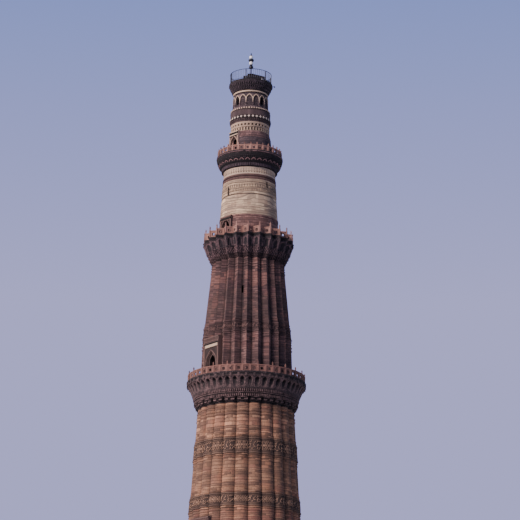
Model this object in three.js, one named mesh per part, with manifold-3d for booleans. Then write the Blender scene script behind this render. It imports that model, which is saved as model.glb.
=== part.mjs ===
// A five-storey minaret of red sandstone and marble, as a 1:2 scale model.
// Every size below is in metres of the full-size tower, and addPiece turns it into model millimetres.
// +Z is up and the origin is the centre of the plinth's underside. An angle is measured round the
// axis from -Y, where the doors face, towards +X.

import * as THREE from "three";
import { mergeVertices } from "three/addons/utils/BufferGeometryUtils.js";
import Module from "manifold-3d";

const manifold = await Module();
manifold.setup();

const MODEL_MM_PER_METRE = 500;
const RADIANS = Math.PI / 180;
const SEAM = 0.0009; // clearance between pieces that nest on a curved or cut face
const CUT = 0.05; // how far a cutter runs past the face that it opens

const FLUTES = 24;
const FLUTE_ANGLE = 360 / FLUTES;
const ARC_STEPS = 4; // straight sides that make one round flute
const LOWER_SIDES = 48; // sides of the two lower balconies, one for each parapet panel
const UPPER_SIDES = 32; // sides of the round storeys and their balcony
const BORE_SIDES = 24;

// Where the grooves between flutes lie, as a share of the radius to the ridges
const GROOVE = { mixed: 0.905, round: 0.945, angular: 0.891 };

const PLINTH = { side: 16.5, stepSide: 15.6, stepHeight: 0.3, height: 0.61 };
const DECK_THICKNESS = 0.24;

// Wall profiles are [height, ridge radius] from the foot up; each storey ends under its balcony's deck
const STOREY_1 = { floor: 0.61, bore: 3.5, profile: [[0.61, 7.16], [29.3, 5.13]] };
const STOREY_2 = { floor: 29.54, bore: 2.7, profile: [[29.54, 4.93], [44.76, 3.945]] };
const STOREY_3 = {
  floor: 45.0, bore: 2.05, turn: -4.25, split: 48.6,
  profile: [[45.0, 3.92], [48.6, 3.78], [57.19, 2.92]],
};
const STOREY_4 = {
  floor: 57.43, top: 64.91, bore: 1.5,
  profile: [[57.43, 2.63], [59.46, 2.52], [62.3, 2.32], [64.91, 2.14]],
  baseTop: 59.46, friezeBottom: 62.65, friezeTop: 63.12,
};
const STOREY_5 = {
  floor: 65.15, bore: 1.05, split: 66.9,
  wall: [[65.15, 1.97], [66.9, 1.825], [67.35, 1.7]],
  collar: [[67.35, 1.67], [68.2, 1.69]],
  stringCourse: [[68.2, 1.7], [68.54, 1.815], [68.8, 1.76], [69.34, 1.75], [69.5, 1.66]],
  arcade: [[69.5, 1.63], [69.9, 1.555], [71.2, 1.5]],
};
const CAP = {
  profile: [[71.2, 1.58], [71.43, 1.72], [71.63, 1.82], [71.89, 1.925], [71.96, 1.925]],
  boreTop: 71.72, kerbRadius: 1.91, kerbThickness: 0.16, kerbTop: 72.12,
};

const BANDS = {
  projection: 0.1,
  first: [[6.6, 7.6], [10.6, 11.6], [14.3, 15.2], [17.7, 18.6], [20.9, 21.8], [23.9, 24.7]],
  second: [[33.9, 35.0], [38.3, 39.65]],
  third: [[48.85, 49.85]],
};

// A portal is a door's projecting frame, whose front stands `front` from the axis. It is let into the
// wall as far in as `back`.
const DOORS = {
  first: {
    angle: 0, width: 1.5, height: 3.6,
    portal: { width: 3.6, height: 5.6, front: 7.3, back: 6.1 },
  },
  second: {
    angle: 0, width: 0.95, height: 2.3,
    portal: { width: 2.3, height: 3.5, front: 4.93, back: 4.2 },
  },
  third: {
    angle: STOREY_3.turn, width: 0.95, height: 2.4,
    portal: { width: 2.04, height: 3.6, front: 3.79, back: 3.2 },
  },
  fourth: {
    angle: 0, width: 0.7, height: 1.6,
    portal: { width: 1.4, height: 2.03, front: 2.66, back: 2.3 },
  },
  fifth: {
    angle: 0, width: 0.62, height: 1.7,
    portal: { width: 1.15, height: 2.2, front: 2.0, back: 1.55 },
  },
};

const SLITS = {
  width: 0.16,
  third: [0, 90, 180, 270].map((turn) => ({ angle: 40.75 + turn, bottom: 52.3, top: 52.95 })),
  fourth: [
    { angle: 0, bottom: 61.4, top: 62.1 },
    { angle: 90, bottom: 62.05, top: 62.58 },
    { angle: 180, bottom: 61.4, top: 62.1 },
    { angle: 270, bottom: 62.05, top: 62.58 },
  ],
};
const ARCADE_OPENINGS = { angles: [0, 90, 180, 270], width: 0.3, bottom: 69.93, height: 0.68 };

// Balconies: corbels are [height, radius] from the foot up to the deck
const BALCONIES = {
  first: {
    floor: STOREY_2.floor, rim: 6.4, postEvery: 2, firstPost: 0, panelHeight: 0.66, postHeight: 0.92,
    corbels: [[26.7, 5.34], [27.2, 5.62], [27.9, 5.76], [29.3, 6.34]],
  },
  second: {
    floor: STOREY_3.floor, rim: 5.08, postEvery: 2, firstPost: 0, panelHeight: 0.66, postHeight: 0.95,
    corbels: [[42.6, 4.12], [43.0, 4.35], [43.6, 4.46], [44.76, 5.03]],
  },
  third: {
    floor: STOREY_4.floor, rim: 3.94, postEvery: 2, firstPost: 1, panelHeight: 0.66, postHeight: 1.04,
    groove: 0.885,
    corbels: [[55.5, 3.13], [55.9, 3.42], [56.5, 3.68], [57.19, 3.92]],
  },
  fourth: {
    floor: STOREY_5.floor, rim: 2.9, postEvery: 1, firstPost: 0, panelHeight: 0.55, postHeight: 0.8,
    corbels: [[63.84, 2.28], [63.95, 2.45], [64.45, 2.7], [64.91, 2.87]],
  },
};
const PARAPET = { setback: 0.08, thickness: 0.13, postWidth: 0.14, postDepth: 0.1 };

const RAILING = { radius: 1.84, bar: 0.045, top: 73.05, lowerRail: 72.2, posts: 6, firstPost: 35 };
const HOOD = {
  direction: 139, depth: 1.05,
  outline: [
    [-0.68, 71.96], [1.2, 71.96], [1.2, 72.6], [1.17, 72.75], [0.12, 73.0],
    [-0.25, 73.0], [-0.39, 72.87], [-0.68, 72.87],
  ],
};
const MAST_SIDES = 12;
const MAST = {
  profile: [
    [73.0, 0.055], [73.74, 0.055], [73.76, 0.2], [74.04, 0.2], [74.08, 0.09], [74.38, 0.09], [74.42, 0.24],
    [74.6, 0.24], [74.64, 0.09], [74.94, 0.09], [75.0, 0.06], [75.22, 0.025],
  ],
  lamps: [
    { name: "mast_lamp_lower", bottom: 74.1, top: 74.36, radius: 0.16 },
    { name: "mast_lamp_upper", bottom: 74.66, top: 74.9, radius: 0.16 },
  ],
  core: 0.09,
};
const FLOOD_LAMPS = { angles: [85, 103], width: 0.2, depth: 0.12, height: 0.15, clearance: 0.03 };
// The bracket lamp stands on the middle of one of the kerb's flat sides
const BRACKET_LAMP = { side: 12, height: 72.05, reach: 0.17, arm: 0.04, head: 0.1 };

const FINISHES = {
  sandstone: { color: 0xa8765a, roughness: 0.9, metalness: 0 },
  redSandstone: { color: 0x85564b, roughness: 0.9, metalness: 0 },
  band: { color: 0x7c5546, roughness: 0.92, metalness: 0 },
  darkStone: { color: 0x3a3236, roughness: 0.95, metalness: 0 },
  pinkStone: { color: 0xb37c6c, roughness: 0.88, metalness: 0 },
  marble: { color: 0xcdb9a6, roughness: 0.75, metalness: 0 },
  greyStone: { color: 0x6e5650, roughness: 0.9, metalness: 0 },
  darkMetal: { color: 0x2b2b33, roughness: 0.5, metalness: 0.7 },
  lampGlass: { color: 0xe9e6ee, roughness: 0.4, metalness: 0 },
};
const MATERIALS = Object.fromEntries(
  Object.entries(FINISHES).map(([name, finish]) => {
    return [name, new THREE.MeshStandardMaterial({ name, ...finish })];
  }),
);

const minaret = new THREE.Group();
minaret.name = "minaret";

// Plans: each is a list of { angle, reach } round the axis, with reach 1 at the greatest radius

function polar(angle, radius) {
  return [radius * Math.sin(angle * RADIANS), -radius * Math.cos(angle * RADIANS)];
}

function roundPlan(sides, turn = 0) {
  return Array.from({ length: sides }, (_, i) => ({ angle: turn + (i * 360) / sides, reach: 1 }));
}

// A round flute is an arc through both grooves beside it, with its top at reach 1
function roundFlute(centre, groove) {
  const halfChord = groove * Math.sin((FLUTE_ANGLE / 2) * RADIANS);
  const rise = 1 - groove * Math.cos((FLUTE_ANGLE / 2) * RADIANS);
  const arcRadius = (halfChord ** 2 + rise ** 2) / (2 * rise);
  const leaning = Math.asin(halfChord / arcRadius);
  const halfArc = rise < arcRadius ? leaning : Math.PI - leaning;
  return Array.from({ length: ARC_STEPS }, (_, i) => {
    const turn = halfArc * ((2 * i) / ARC_STEPS - 1);
    const across = arcRadius * Math.sin(turn);
    const along = 1 - arcRadius + arcRadius * Math.cos(turn);
    return { angle: centre + Math.atan2(across, along) / RADIANS, reach: Math.hypot(across, along) };
  });
}

function angularFlute(centre, groove) {
  return [{ angle: centre - FLUTE_ANGLE / 2, reach: groove }, { angle: centre, reach: 1 }];
}

function flutedPlan(flutesInTurn, groove, turn = 0) {
  return Array.from({ length: FLUTES }, (_, i) =>
    flutesInTurn[i % flutesInTurn.length](turn + i * FLUTE_ANGLE, groove),
  ).flat();
}

const angularTurn = STOREY_3.turn + FLUTE_ANGLE / 2; // puts the third storey's door in a groove
const PLANS = {
  mixed: flutedPlan([roundFlute, angularFlute], GROOVE.mixed),
  round: flutedPlan([roundFlute], GROOVE.round),
  angular: flutedPlan([angularFlute], GROOVE.angular, angularTurn),
  star: flutedPlan([angularFlute], BALCONIES.third.groove, angularTurn),
  lowerRound: roundPlan(LOWER_SIDES),
  upperRound: roundPlan(UPPER_SIDES),
  fourthBalcony: roundPlan(UPPER_SIDES, 180 / UPPER_SIDES), // a panel faces each door
};

function outline(plan, radius, offset = 0) {
  return plan.map(({ angle, reach }) => polar(angle, radius * reach + offset));
}

function radiusAt(profile, height) {
  const above = Math.max(1, profile.findIndex(([z]) => z >= height));
  const [z0, r0] = profile[above - 1];
  const [z1, r1] = profile[above];
  return r0 + ((r1 - r0) * (height - z0)) / (z1 - z0);
}

// The part of a profile between two heights, which may run a little past its ends
function profileBetween(profile, bottom, top) {
  const inside = profile.filter(([z]) => z > bottom && z < top);
  return [[bottom, radiusAt(profile, bottom)], ...inside, [top, radiusAt(profile, top)]];
}

// Solids

function toSolid(geometry) {
  geometry.deleteAttribute("normal");
  geometry.deleteAttribute("uv");
  const merged = mergeVertices(geometry, 1e-5);
  return new manifold.Manifold(
    new manifold.Mesh({
      numProp: 3,
      vertProperties: Float32Array.from(merged.getAttribute("position").array),
      triVerts: Uint32Array.from(merged.index.array),
    }),
  );
}

function toGeometry(solid) {
  const mesh = solid.getMesh();
  const geometry = new THREE.BufferGeometry();
  geometry.setAttribute("position", new THREE.Float32BufferAttribute(mesh.vertProperties, mesh.numProp));
  geometry.setIndex(Array.from(mesh.triVerts));
  return geometry;
}

// A closed solid through outlines at rising heights, all with the same number of points
function lofted(levels) {
  const count = levels[0].points.length;
  const positions = levels.flatMap(({ z, points }) => points.flatMap(([x, y]) => [x, y, z]));
  const ends = [levels[0], levels[levels.length - 1]];
  for (const { z, points } of ends) {
    const middle = [0, 1].map((k) => points.reduce((sum, point) => sum + point[k], 0) / count);
    positions.push(...middle, z);
  }
  const bottomCentre = levels.length * count;
  const lastRing = (levels.length - 1) * count;
  const triangles = [];
  for (let i = 0; i < count; i += 1) {
    const next = (i + 1) % count;
    for (let ring = 0; ring < lastRing; ring += count) {
      triangles.push(ring + i, ring + next, ring + count + next);
      triangles.push(ring + i, ring + count + next, ring + count + i);
    }
    triangles.push(bottomCentre, next, i);
    triangles.push(bottomCentre + 1, lastRing + i, lastRing + next);
  }
  const geometry = new THREE.BufferGeometry();
  geometry.setAttribute("position", new THREE.Float32BufferAttribute(positions, 3));
  geometry.setIndex(triangles);
  return toSolid(geometry);
}

function profileSolid(plan, profile, offset = 0) {
  return lofted(profile.map(([z, radius]) => ({ z, points: outline(plan, radius, offset) })));
}

function column(plan, radius, bottom, top) {
  return profileSolid(plan, [[bottom, radius], [top, radius]]);
}

function block({ angle, width, inner, outer, bottom, top }) {
  const geometry = new THREE.BoxGeometry(width, outer - inner, top - bottom);
  geometry.translate(0, -(inner + outer) / 2, (bottom + top) / 2);
  geometry.rotateZ(angle * RADIANS);
  return toSolid(geometry);
}

// A pointed arch with straight jambs, run outwards from the axis along an angle
function archway({ angle, width, height, bottom, inner, outer }) {
  const half = width / 2;
  const spring = height - width * 0.75;
  const shape = new THREE.Shape();
  shape.moveTo(-half, 0);
  shape.lineTo(half, 0);
  shape.lineTo(half, spring);
  shape.quadraticCurveTo(half, spring + width * 0.42, 0, height);
  shape.quadraticCurveTo(-half, spring + width * 0.42, -half, spring);
  const depth = outer - inner;
  const geometry = new THREE.ExtrudeGeometry(shape, { depth, bevelEnabled: false, curveSegments: 3 });
  geometry.rotateX(90 * RADIANS);
  geometry.translate(0, -inner, bottom);
  geometry.rotateZ(angle * RADIANS);
  return toSolid(geometry);
}

function addPiece(name, finish, solid) {
  const geometry = toGeometry(solid).scale(MODEL_MM_PER_METRE, MODEL_MM_PER_METRE, MODEL_MM_PER_METRE);
  const mesh = new THREE.Mesh(geometry, MATERIALS[finish]);
  mesh.name = name;
  minaret.add(mesh);
}

// A ring of masonry with a round room inside
function hollowWall(plan, profile, bore) {
  const [bottom, top] = [profile[0][0], profile[profile.length - 1][0]];
  return profileSolid(plan, profile).subtract(column(roundPlan(BORE_SIDES), bore, bottom - CUT, top + CUT));
}

function doorway(floor, { angle, width, height }) {
  return archway({ angle, width, height, bottom: floor - CUT, inner: 0, outer: PLINTH.side });
}

function portalSeat(floor, { angle, portal }) {
  const { width, height, back } = portal;
  return block({
    angle, width: width + 2 * SEAM, inner: back - SEAM, outer: PLINTH.side,
    bottom: floor - CUT, top: floor + height + SEAM,
  });
}

function withDoor(wall, floor, door) {
  return wall.subtract(portalSeat(floor, door)).subtract(doorway(floor, door));
}

function withSlits(wall, slits) {
  return slits.reduce(
    (rest, slit) => rest.subtract(block({ ...slit, width: SLITS.width, inner: 0, outer: PLINTH.side })),
    wall,
  );
}

function addPortal(name, finish, floor, door) {
  const { width, height, front, back } = door.portal;
  const { angle } = door;
  const frame = block({ angle, width, inner: back, outer: front, bottom: floor, top: floor + height });
  addPiece(name, finish, frame.subtract(doorway(floor, door)));
}

// A carved band stands proud of the flutes and follows them
function addBand(name, plan, wallProfile, [bottom, top]) {
  const face = profileSolid(plan, profileBetween(wallProfile, bottom, top), BANDS.projection);
  const seat = profileSolid(plan, profileBetween(wallProfile, bottom - CUT, top + CUT), SEAM);
  addPiece(name, "band", face.subtract(seat));
}

function addPlinth() {
  const { side, stepSide, stepHeight, height } = PLINTH;
  const slab = (size, bottom, top) =>
    block({ angle: 0, width: size, inner: -size / 2, outer: size / 2, bottom, top });
  addPiece("plinth", "greyStone", slab(side, 0, stepHeight).add(slab(stepSide, stepHeight - CUT, height)));
}

function addFlutedStorey(number, storey, plan, finish, door, bands) {
  const { floor, bore, profile } = storey;
  addPiece(`storey_${number}_wall`, finish, withDoor(hollowWall(plan, profile, bore), floor, door));
  bands.forEach((band, i) => addBand(`storey_${number}_band_${i + 1}`, plan, profile, band));
  addPortal(`storey_${number}_portal`, finish, floor, door);
}

function addThirdStorey() {
  const { floor, bore, profile, split } = STOREY_3;
  const top = profile[profile.length - 1][0];
  const drum = (from, to) => hollowWall(PLANS.angular, profileBetween(profile, from, to), bore);
  addPiece("storey_3_lower_wall", "redSandstone", withDoor(drum(floor, split), floor, DOORS.third));
  addPiece("storey_3_upper_wall", "redSandstone", withSlits(drum(split, top), SLITS.third));
  BANDS.third.forEach((band, i) => addBand(`storey_3_band_${i + 1}`, PLANS.angular, profile, band));
  addPortal("storey_3_portal", "redSandstone", floor, DOORS.third);
}

function addFourthStorey() {
  const { floor, top, bore, profile, baseTop, friezeBottom, friezeTop } = STOREY_4;
  const drum = (from, to) => hollowWall(PLANS.upperRound, profileBetween(profile, from, to), bore);
  addPiece("storey_4_base_course", "redSandstone", withDoor(drum(floor, baseTop), floor, DOORS.fourth));
  addPiece("storey_4_marble_wall", "marble", withSlits(drum(baseTop, friezeBottom), SLITS.fourth));
  addPiece("storey_4_frieze", "redSandstone", drum(friezeBottom, friezeTop));
  addPiece("storey_4_marble_crown", "marble", drum(friezeTop, top));
  addPortal("storey_4_portal", "redSandstone", floor, DOORS.fourth);
}

function addFifthStorey() {
  const { floor, bore, wall, split, collar, stringCourse, arcade } = STOREY_5;
  const drum = (profile) => hollowWall(PLANS.upperRound, profile, bore);
  const courses = (from, to) => withDoor(drum(profileBetween(wall, from, to)), floor, DOORS.fifth);
  addPiece("storey_5_lower_wall", "greyStone", courses(floor, split));
  addPiece("storey_5_upper_wall", "redSandstone", courses(split, collar[0][0]));
  addPortal("storey_5_portal", "marble", floor, DOORS.fifth);
  addPiece("storey_5_marble_collar", "marble", drum(collar));
  addPiece("storey_5_string_course", "band", drum(stringCourse));
  const pierced = ARCADE_OPENINGS.angles.reduce(
    (rest, angle) => rest.subtract(archway({ ...ARCADE_OPENINGS, angle, inner: 0, outer: PLINTH.side })),
    drum(arcade),
  );
  addPiece("storey_5_arcade", "greyStone", pierced);
}

// The bore of a balcony's corbels fits the ridges of the wall that it wraps
function addBalcony(number, balcony, storey, ridgePlan, plan) {
  const { floor, rim, corbels } = balcony;
  const foot = corbels[0][0];
  const deckBottom = floor - DECK_THICKNESS;
  const seat = profileSolid(ridgePlan, profileBetween(storey.profile, foot - CUT, deckBottom + CUT), SEAM);
  addPiece(`balcony_${number}_corbels`, "darkStone", profileSolid(plan, corbels).subtract(seat));
  addPiece(`balcony_${number}_deck`, "darkStone", column(plan, rim, deckBottom, floor));
  addParapet(number, balcony, plan);
}

// A ring of panels, with a post on every joint between them, or on every second one from firstPost
function addParapet(number, balcony, plan) {
  const { floor, rim, postEvery, firstPost, panelHeight, postHeight } = balcony;
  const { setback, thickness, postWidth, postDepth } = PARAPET;
  const face = rim - setback;
  const top = floor + panelHeight;
  const loop = (offset, bottom, end) =>
    lofted([bottom, end].map((z) => ({ z, points: outline(plan, face, offset) })));
  const wall = loop(0, floor, top).subtract(loop(-thickness, floor - CUT, top + CUT));
  const posts = plan
    .filter((_, joint) => joint % postEvery === firstPost)
    .map(({ angle, reach }) => {
      const outer = face * reach - (thickness - postDepth) / 2;
      return block({
        angle, width: postWidth, inner: outer - postDepth, outer,
        bottom: top - CUT, top: floor + postHeight,
      });
    });
  addPiece(`balcony_${number}_parapet`, "pinkStone", posts.reduce((rest, post) => rest.add(post), wall));
}

function addCap() {
  const { profile, boreTop, kerbRadius, kerbThickness, kerbTop } = CAP;
  const [foot, deck] = [profile[0][0], profile[profile.length - 1][0]];
  const room = column(roundPlan(BORE_SIDES), STOREY_5.bore, foot - CUT, boreTop);
  addPiece("cap_corbels", "darkStone", profileSolid(PLANS.upperRound, profile).subtract(room));
  const kerb = column(PLANS.upperRound, kerbRadius, deck, kerbTop);
  const inside = column(PLANS.upperRound, kerbRadius - kerbThickness, deck - CUT, kerbTop + CUT);
  addPiece("cap_kerb", "darkStone", kerb.subtract(inside));
}

function addRailing() {
  const { radius, bar, top, lowerRail, posts, firstPost } = RAILING;
  const plan = roundPlan(FLUTES);
  const hoop = (z) =>
    column(plan, radius, z - bar, z).subtract(column(plan, radius - bar, z - bar - CUT, z + CUT));
  const rails = hoop(top).add(hoop(lowerRail));
  const uprights = Array.from({ length: posts }, (_, i) =>
    block({
      angle: firstPost + (i * 360) / posts, width: bar,
      inner: radius - 1.5 * bar, outer: radius - 0.5 * bar, bottom: CAP.kerbTop, top: top - bar / 2,
    }),
  );
  addPiece("cap_railing", "darkMetal", uprights.reduce((rest, upright) => rest.add(upright), rails));
}

function addHood() {
  const shape = new THREE.Shape(HOOD.outline.map(([along, z]) => new THREE.Vector2(along, z)));
  const geometry = new THREE.ExtrudeGeometry(shape, { depth: HOOD.depth, bevelEnabled: false });
  geometry.rotateX(90 * RADIANS);
  geometry.translate(0, HOOD.depth / 2, 0);
  geometry.rotateZ((HOOD.direction - 90) * RADIANS);
  addPiece("stair_hood", "darkStone", toSolid(geometry));
}

function addMast() {
  const plan = roundPlan(MAST_SIDES);
  addPiece("mast", "darkMetal", profileSolid(plan, MAST.profile));
  for (const { name, bottom, top, radius } of MAST.lamps) {
    const hole = column(plan, MAST.core + SEAM, bottom - CUT, top + CUT);
    addPiece(name, "lampGlass", column(plan, radius, bottom, top).subtract(hole));
  }
}

function addLamps() {
  const { angles, width, depth, height, clearance } = FLOOD_LAMPS;
  const outer = RAILING.radius - RAILING.bar - clearance;
  angles.forEach((angle, i) => {
    const lamp = block({
      angle, width, inner: outer - depth, outer,
      bottom: CAP.kerbTop, top: CAP.kerbTop + height,
    });
    addPiece(`flood_lamp_${i + 1}`, "lampGlass", lamp);
  });
  const { side, height: lampHeight, reach, arm, head } = BRACKET_LAMP;
  const sideAngle = 360 / UPPER_SIDES;
  const angle = (side + 0.5) * sideAngle;
  const wallFace = CAP.kerbRadius * Math.cos((sideAngle / 2) * RADIANS);
  const stem = block({
    angle, width: arm, inner: wallFace, outer: wallFace + reach, bottom: lampHeight, top: lampHeight + arm,
  });
  const shade = block({
    angle, width: head, inner: wallFace + reach - CUT, outer: wallFace + reach + head / 2,
    bottom: lampHeight - head / 2, top: lampHeight + head / 2,
  });
  addPiece("bracket_lamp", "darkMetal", stem.add(shade));
}

const evenRidges = roundPlan(FLUTES);
const turnedRidges = roundPlan(FLUTES, angularTurn);

addPlinth();
addFlutedStorey(1, STOREY_1, PLANS.mixed, "sandstone", DOORS.first, BANDS.first);
addBalcony(1, BALCONIES.first, STOREY_1, evenRidges, PLANS.lowerRound);
addFlutedStorey(2, STOREY_2, PLANS.round, "sandstone", DOORS.second, BANDS.second);
addBalcony(2, BALCONIES.second, STOREY_2, evenRidges, PLANS.lowerRound);
addThirdStorey();
addBalcony(3, BALCONIES.third, STOREY_3, turnedRidges, PLANS.star);
addFourthStorey();
addBalcony(4, BALCONIES.fourth, STOREY_4, PLANS.upperRound, PLANS.fourthBalcony);
addFifthStorey();
addCap();
addRailing();
addHood();
addMast();
addLamps();

export default minaret;
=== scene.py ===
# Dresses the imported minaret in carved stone. Every size in the tables below is in metres of the
# full-size tower, as in the part's own source, and MODEL_SCALE turns it into metres of the model.
# An angle is measured round the axis from -Y, where the doors face, towards +X.

import math
import random

import bmesh
import bpy
from bpy.props import FloatProperty, FloatVectorProperty, IntProperty, PointerProperty
from mathutils import Matrix, Vector, noise


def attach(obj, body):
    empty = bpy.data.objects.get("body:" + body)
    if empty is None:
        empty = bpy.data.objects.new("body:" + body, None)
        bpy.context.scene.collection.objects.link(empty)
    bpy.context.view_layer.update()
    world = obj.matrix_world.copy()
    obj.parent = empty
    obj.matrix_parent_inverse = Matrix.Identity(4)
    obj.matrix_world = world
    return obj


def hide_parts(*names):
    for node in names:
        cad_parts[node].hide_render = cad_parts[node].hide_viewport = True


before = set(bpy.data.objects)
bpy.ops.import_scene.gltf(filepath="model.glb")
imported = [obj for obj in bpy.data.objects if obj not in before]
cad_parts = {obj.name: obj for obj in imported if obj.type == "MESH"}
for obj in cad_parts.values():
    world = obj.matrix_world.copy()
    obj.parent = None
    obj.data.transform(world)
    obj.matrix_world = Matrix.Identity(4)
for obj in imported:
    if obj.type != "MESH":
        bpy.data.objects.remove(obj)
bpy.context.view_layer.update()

bl_info = {
    "name": "Carved Minaret",
    "version": (1, 0, 0),
    "blender": (4, 5, 0),
    "location": "3D View > Sidebar > Minaret",
    "description": "Builds the carved stone, pierced parapets and ironwork of a fluted minaret",
    "category": "Add Mesh",
}

MODEL_SCALE = 0.5
BODY = "root"
FLUTES = 24
FLUTE_ANGLE = 360 / FLUTES
PANELS = 48  # parapet panels on each of the three lower balconies
UPPER_PANELS = 32
ARCADE_ARCHES = 16
ROUND_STEPS = 96
WELD_DISTANCE = 0.0002
WEAR_FREQUENCY = 9.0  # bumps of worn stone in a metre of the model, or nearly
WEAR_SEED = 1  # without a seed, Blender starts this noise from the clock
QUARTERS = (0, 90, 180, 270)
CUT = 0.06  # how far a cutter runs past the face that it opens
SEAM = 0.002  # clearance of a portal in its seat
FAR = 16.5  # beyond every wall, as the plinth's side is

# How far out the grooves between flutes lie, beside the flutes' crowns
GROOVE_MIXED = 0.905
GROOVE_ROUND = 0.945
GROOVE_ANGULAR = 0.891
GROOVE_STAR = 0.885
THIRD_TURN = -4.25  # the third storey's door stands this far round
ANGULAR_TURN = THIRD_TURN + FLUTE_ANGLE / 2

FLOOR_1, FLOOR_2, FLOOR_3, FLOOR_4, FLOOR_5 = 0.61, 29.54, 45.0, 57.43, 65.15

# Each storey's inner radius, and its wall's outer radius as (height, radius)
STOREY_1 = {"bore": 3.5, "profile": ((FLOOR_1, 7.16), (29.3, 5.13))}
STOREY_2 = {"bore": 2.7, "profile": ((FLOOR_2, 4.93), (44.76, 3.945))}
STOREY_3 = {"bore": 2.05, "profile": ((FLOOR_3, 3.92), (48.6, 3.78), (57.19, 2.92))}
STOREY_4 = {"bore": 1.5, "profile": ((FLOOR_4, 2.63), (59.46, 2.52), (62.3, 2.32), (64.91, 2.14))}
BASE_TOP, FRIEZE_BOTTOM, FRIEZE_TOP, CROWN_TOP = 59.46, 62.72, 63.19, 64.91
FIFTH_BORE = 1.05
WALL_TOP, COLLAR_TOP, STRING_TOP = 67.35, 68.2, 69.5
CAP_FOOT, CAP_DECK, KERB_TOP = 71.2, 71.96, 72.12
KERB_RADIUS, KERB_THICKNESS, CAP_BORE_TOP = 1.91, 0.16, 71.72

# Bottom and top of each carved band
BANDS_1 = ((6.6, 7.6), (10.6, 11.6), (14.3, 15.2), (17.7, 18.6), (20.9, 21.8), (23.9, 24.7))
BANDS_2 = ((33.9, 35.0), (38.3, 39.65))
BANDS_3 = ((48.85, 49.85),)

# Each door by storey; a portal is its width, its height and the radii of its front and its back
DOORS = {
    1: {"angle": 0, "floor": FLOOR_1, "width": 1.5, "height": 3.6, "portal": (3.6, 5.6, 7.3, 6.1)},
    2: {"angle": 0, "floor": FLOOR_2, "width": 0.95, "height": 2.3, "portal": (2.3, 3.5, 4.93, 4.2)},
    3: {"angle": THIRD_TURN, "floor": FLOOR_3, "width": 0.74, "height": 2.05,
        "portal": (2.04, 3.6, 3.79, 3.2)},
    4: {"angle": 0, "floor": FLOOR_4, "width": 0.7, "height": 1.6, "portal": (1.4, 2.03, 2.66, 2.3)},
    5: {"angle": 0, "floor": FLOOR_5, "width": 0.5, "height": 1.6, "portal": (1.15, 2.2, 1.9, 1.55)},
}

# Slit windows as (angle, bottom, top), and arcade windows as (angle, width, height, bottom)
SLIT_WIDTH = 0.16
SLITS_3 = [(40.75 + turn, 52.3, 52.95) for turn in QUARTERS]
SLITS_4 = [(0, 61.4, 62.1), (90, 62.05, 62.58), (180, 61.4, 62.1), (270, 62.05, 62.58)]
ARCADE_WINDOWS = [(angle, 0.3, 0.68, 69.93) for angle in QUARTERS]

# Each balcony's rim and inner wall as radii, its panels' height, how tall its posts' heads are
# beside the setting, and the outline of its corbels as (height, radius)
BALCONIES = {
    1: {"floor": FLOOR_2, "rim": 6.4, "wall": 4.6, "panel": 0.66, "post": 1.0,
        "corbels": ((26.7, 5.34), (27.2, 5.62), (27.9, 5.76), (29.3, 6.34))},
    2: {"floor": FLOOR_3, "rim": 5.08, "wall": 3.55, "panel": 0.66, "post": 1.0,
        "corbels": ((42.6, 4.12), (43.0, 4.35), (43.6, 4.46), (44.76, 5.03))},
    3: {"floor": FLOOR_4, "rim": 3.94, "wall": 2.5, "panel": 0.66, "post": 1.2,
        "corbels": ((55.5, 3.13), (55.9, 3.42), (56.5, 3.68), (57.19, 3.92))},
    4: {"floor": FLOOR_5, "rim": 2.9, "wall": 2.0, "panel": 0.55, "post": 0.75,
        "corbels": ((63.84, 2.28), (63.95, 2.45), (64.45, 2.7), (64.91, 2.87))},
}
DECK = 0.24  # thickness of a balcony's floor
PARAPET_SETBACK, PARAPET_THICKNESS = 0.08, 0.13


def real(length):
    """Model metres for a length of the full-size tower."""
    return length * MODEL_SCALE


def polar(angle, radius):
    """A point in plan, from an angle in degrees round the axis and a radius."""
    turn = math.radians(angle)
    return radius * math.sin(turn), -radius * math.cos(turn)


def radius_at(profile, height):
    """The radius of a wall profile at a height, also a little past its ends."""
    steps = list(zip(profile, profile[1:]))
    chosen = next((pair for pair in steps if height <= pair[1][0]), steps[-1])
    (low, start), (high, end) = chosen
    return start + (end - start) * (height - low) / (high - low)


# Plans: each gives one cell of an outline, which a ring repeats round the axis


class Plan:
    """How many cells go round, how far the first one is turned, how far out its grooves lie, and
    the shares of a cell's width at which its points stand."""

    def __init__(self, cells, columns, turn=0, groove=0):
        self.cells = cells
        self.turn = turn
        self.groove = groove
        self.shares = [number / columns - 0.5 for number in range(columns + 1)]


class CirclePlan(Plan):
    """A round outline, in cells of equal angle."""

    def __init__(self, cells, turn=0):
        super().__init__(cells, 1, turn)

    def point(self, share):
        """The outline's point and outward direction on the unit circle."""
        across, along = polar(share * 360 / self.cells, 1)
        return (across, along), (across, along)


class RoundFlutePlan(Plan):
    """One flute whose face is an arc through the grooves beside it."""

    def __init__(self, groove):
        super().__init__(FLUTES, 12, 0, groove)
        chord = groove * math.sin(math.radians(FLUTE_ANGLE / 2))
        rise = 1 - groove * math.cos(math.radians(FLUTE_ANGLE / 2))
        self.arc_radius = (chord ** 2 + rise ** 2) / (2 * rise)
        lean = math.degrees(math.asin(chord / self.arc_radius))
        self.half_arc = lean if rise < self.arc_radius else 180 - lean

    def point(self, share):
        """The flute's point and outward direction at a share of its width."""
        turn = math.radians(2 * share * self.half_arc)
        across = self.arc_radius * math.sin(turn)
        along = 1 - self.arc_radius + self.arc_radius * math.cos(turn)
        return (across, -along), (math.sin(turn), -math.cos(turn))


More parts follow.
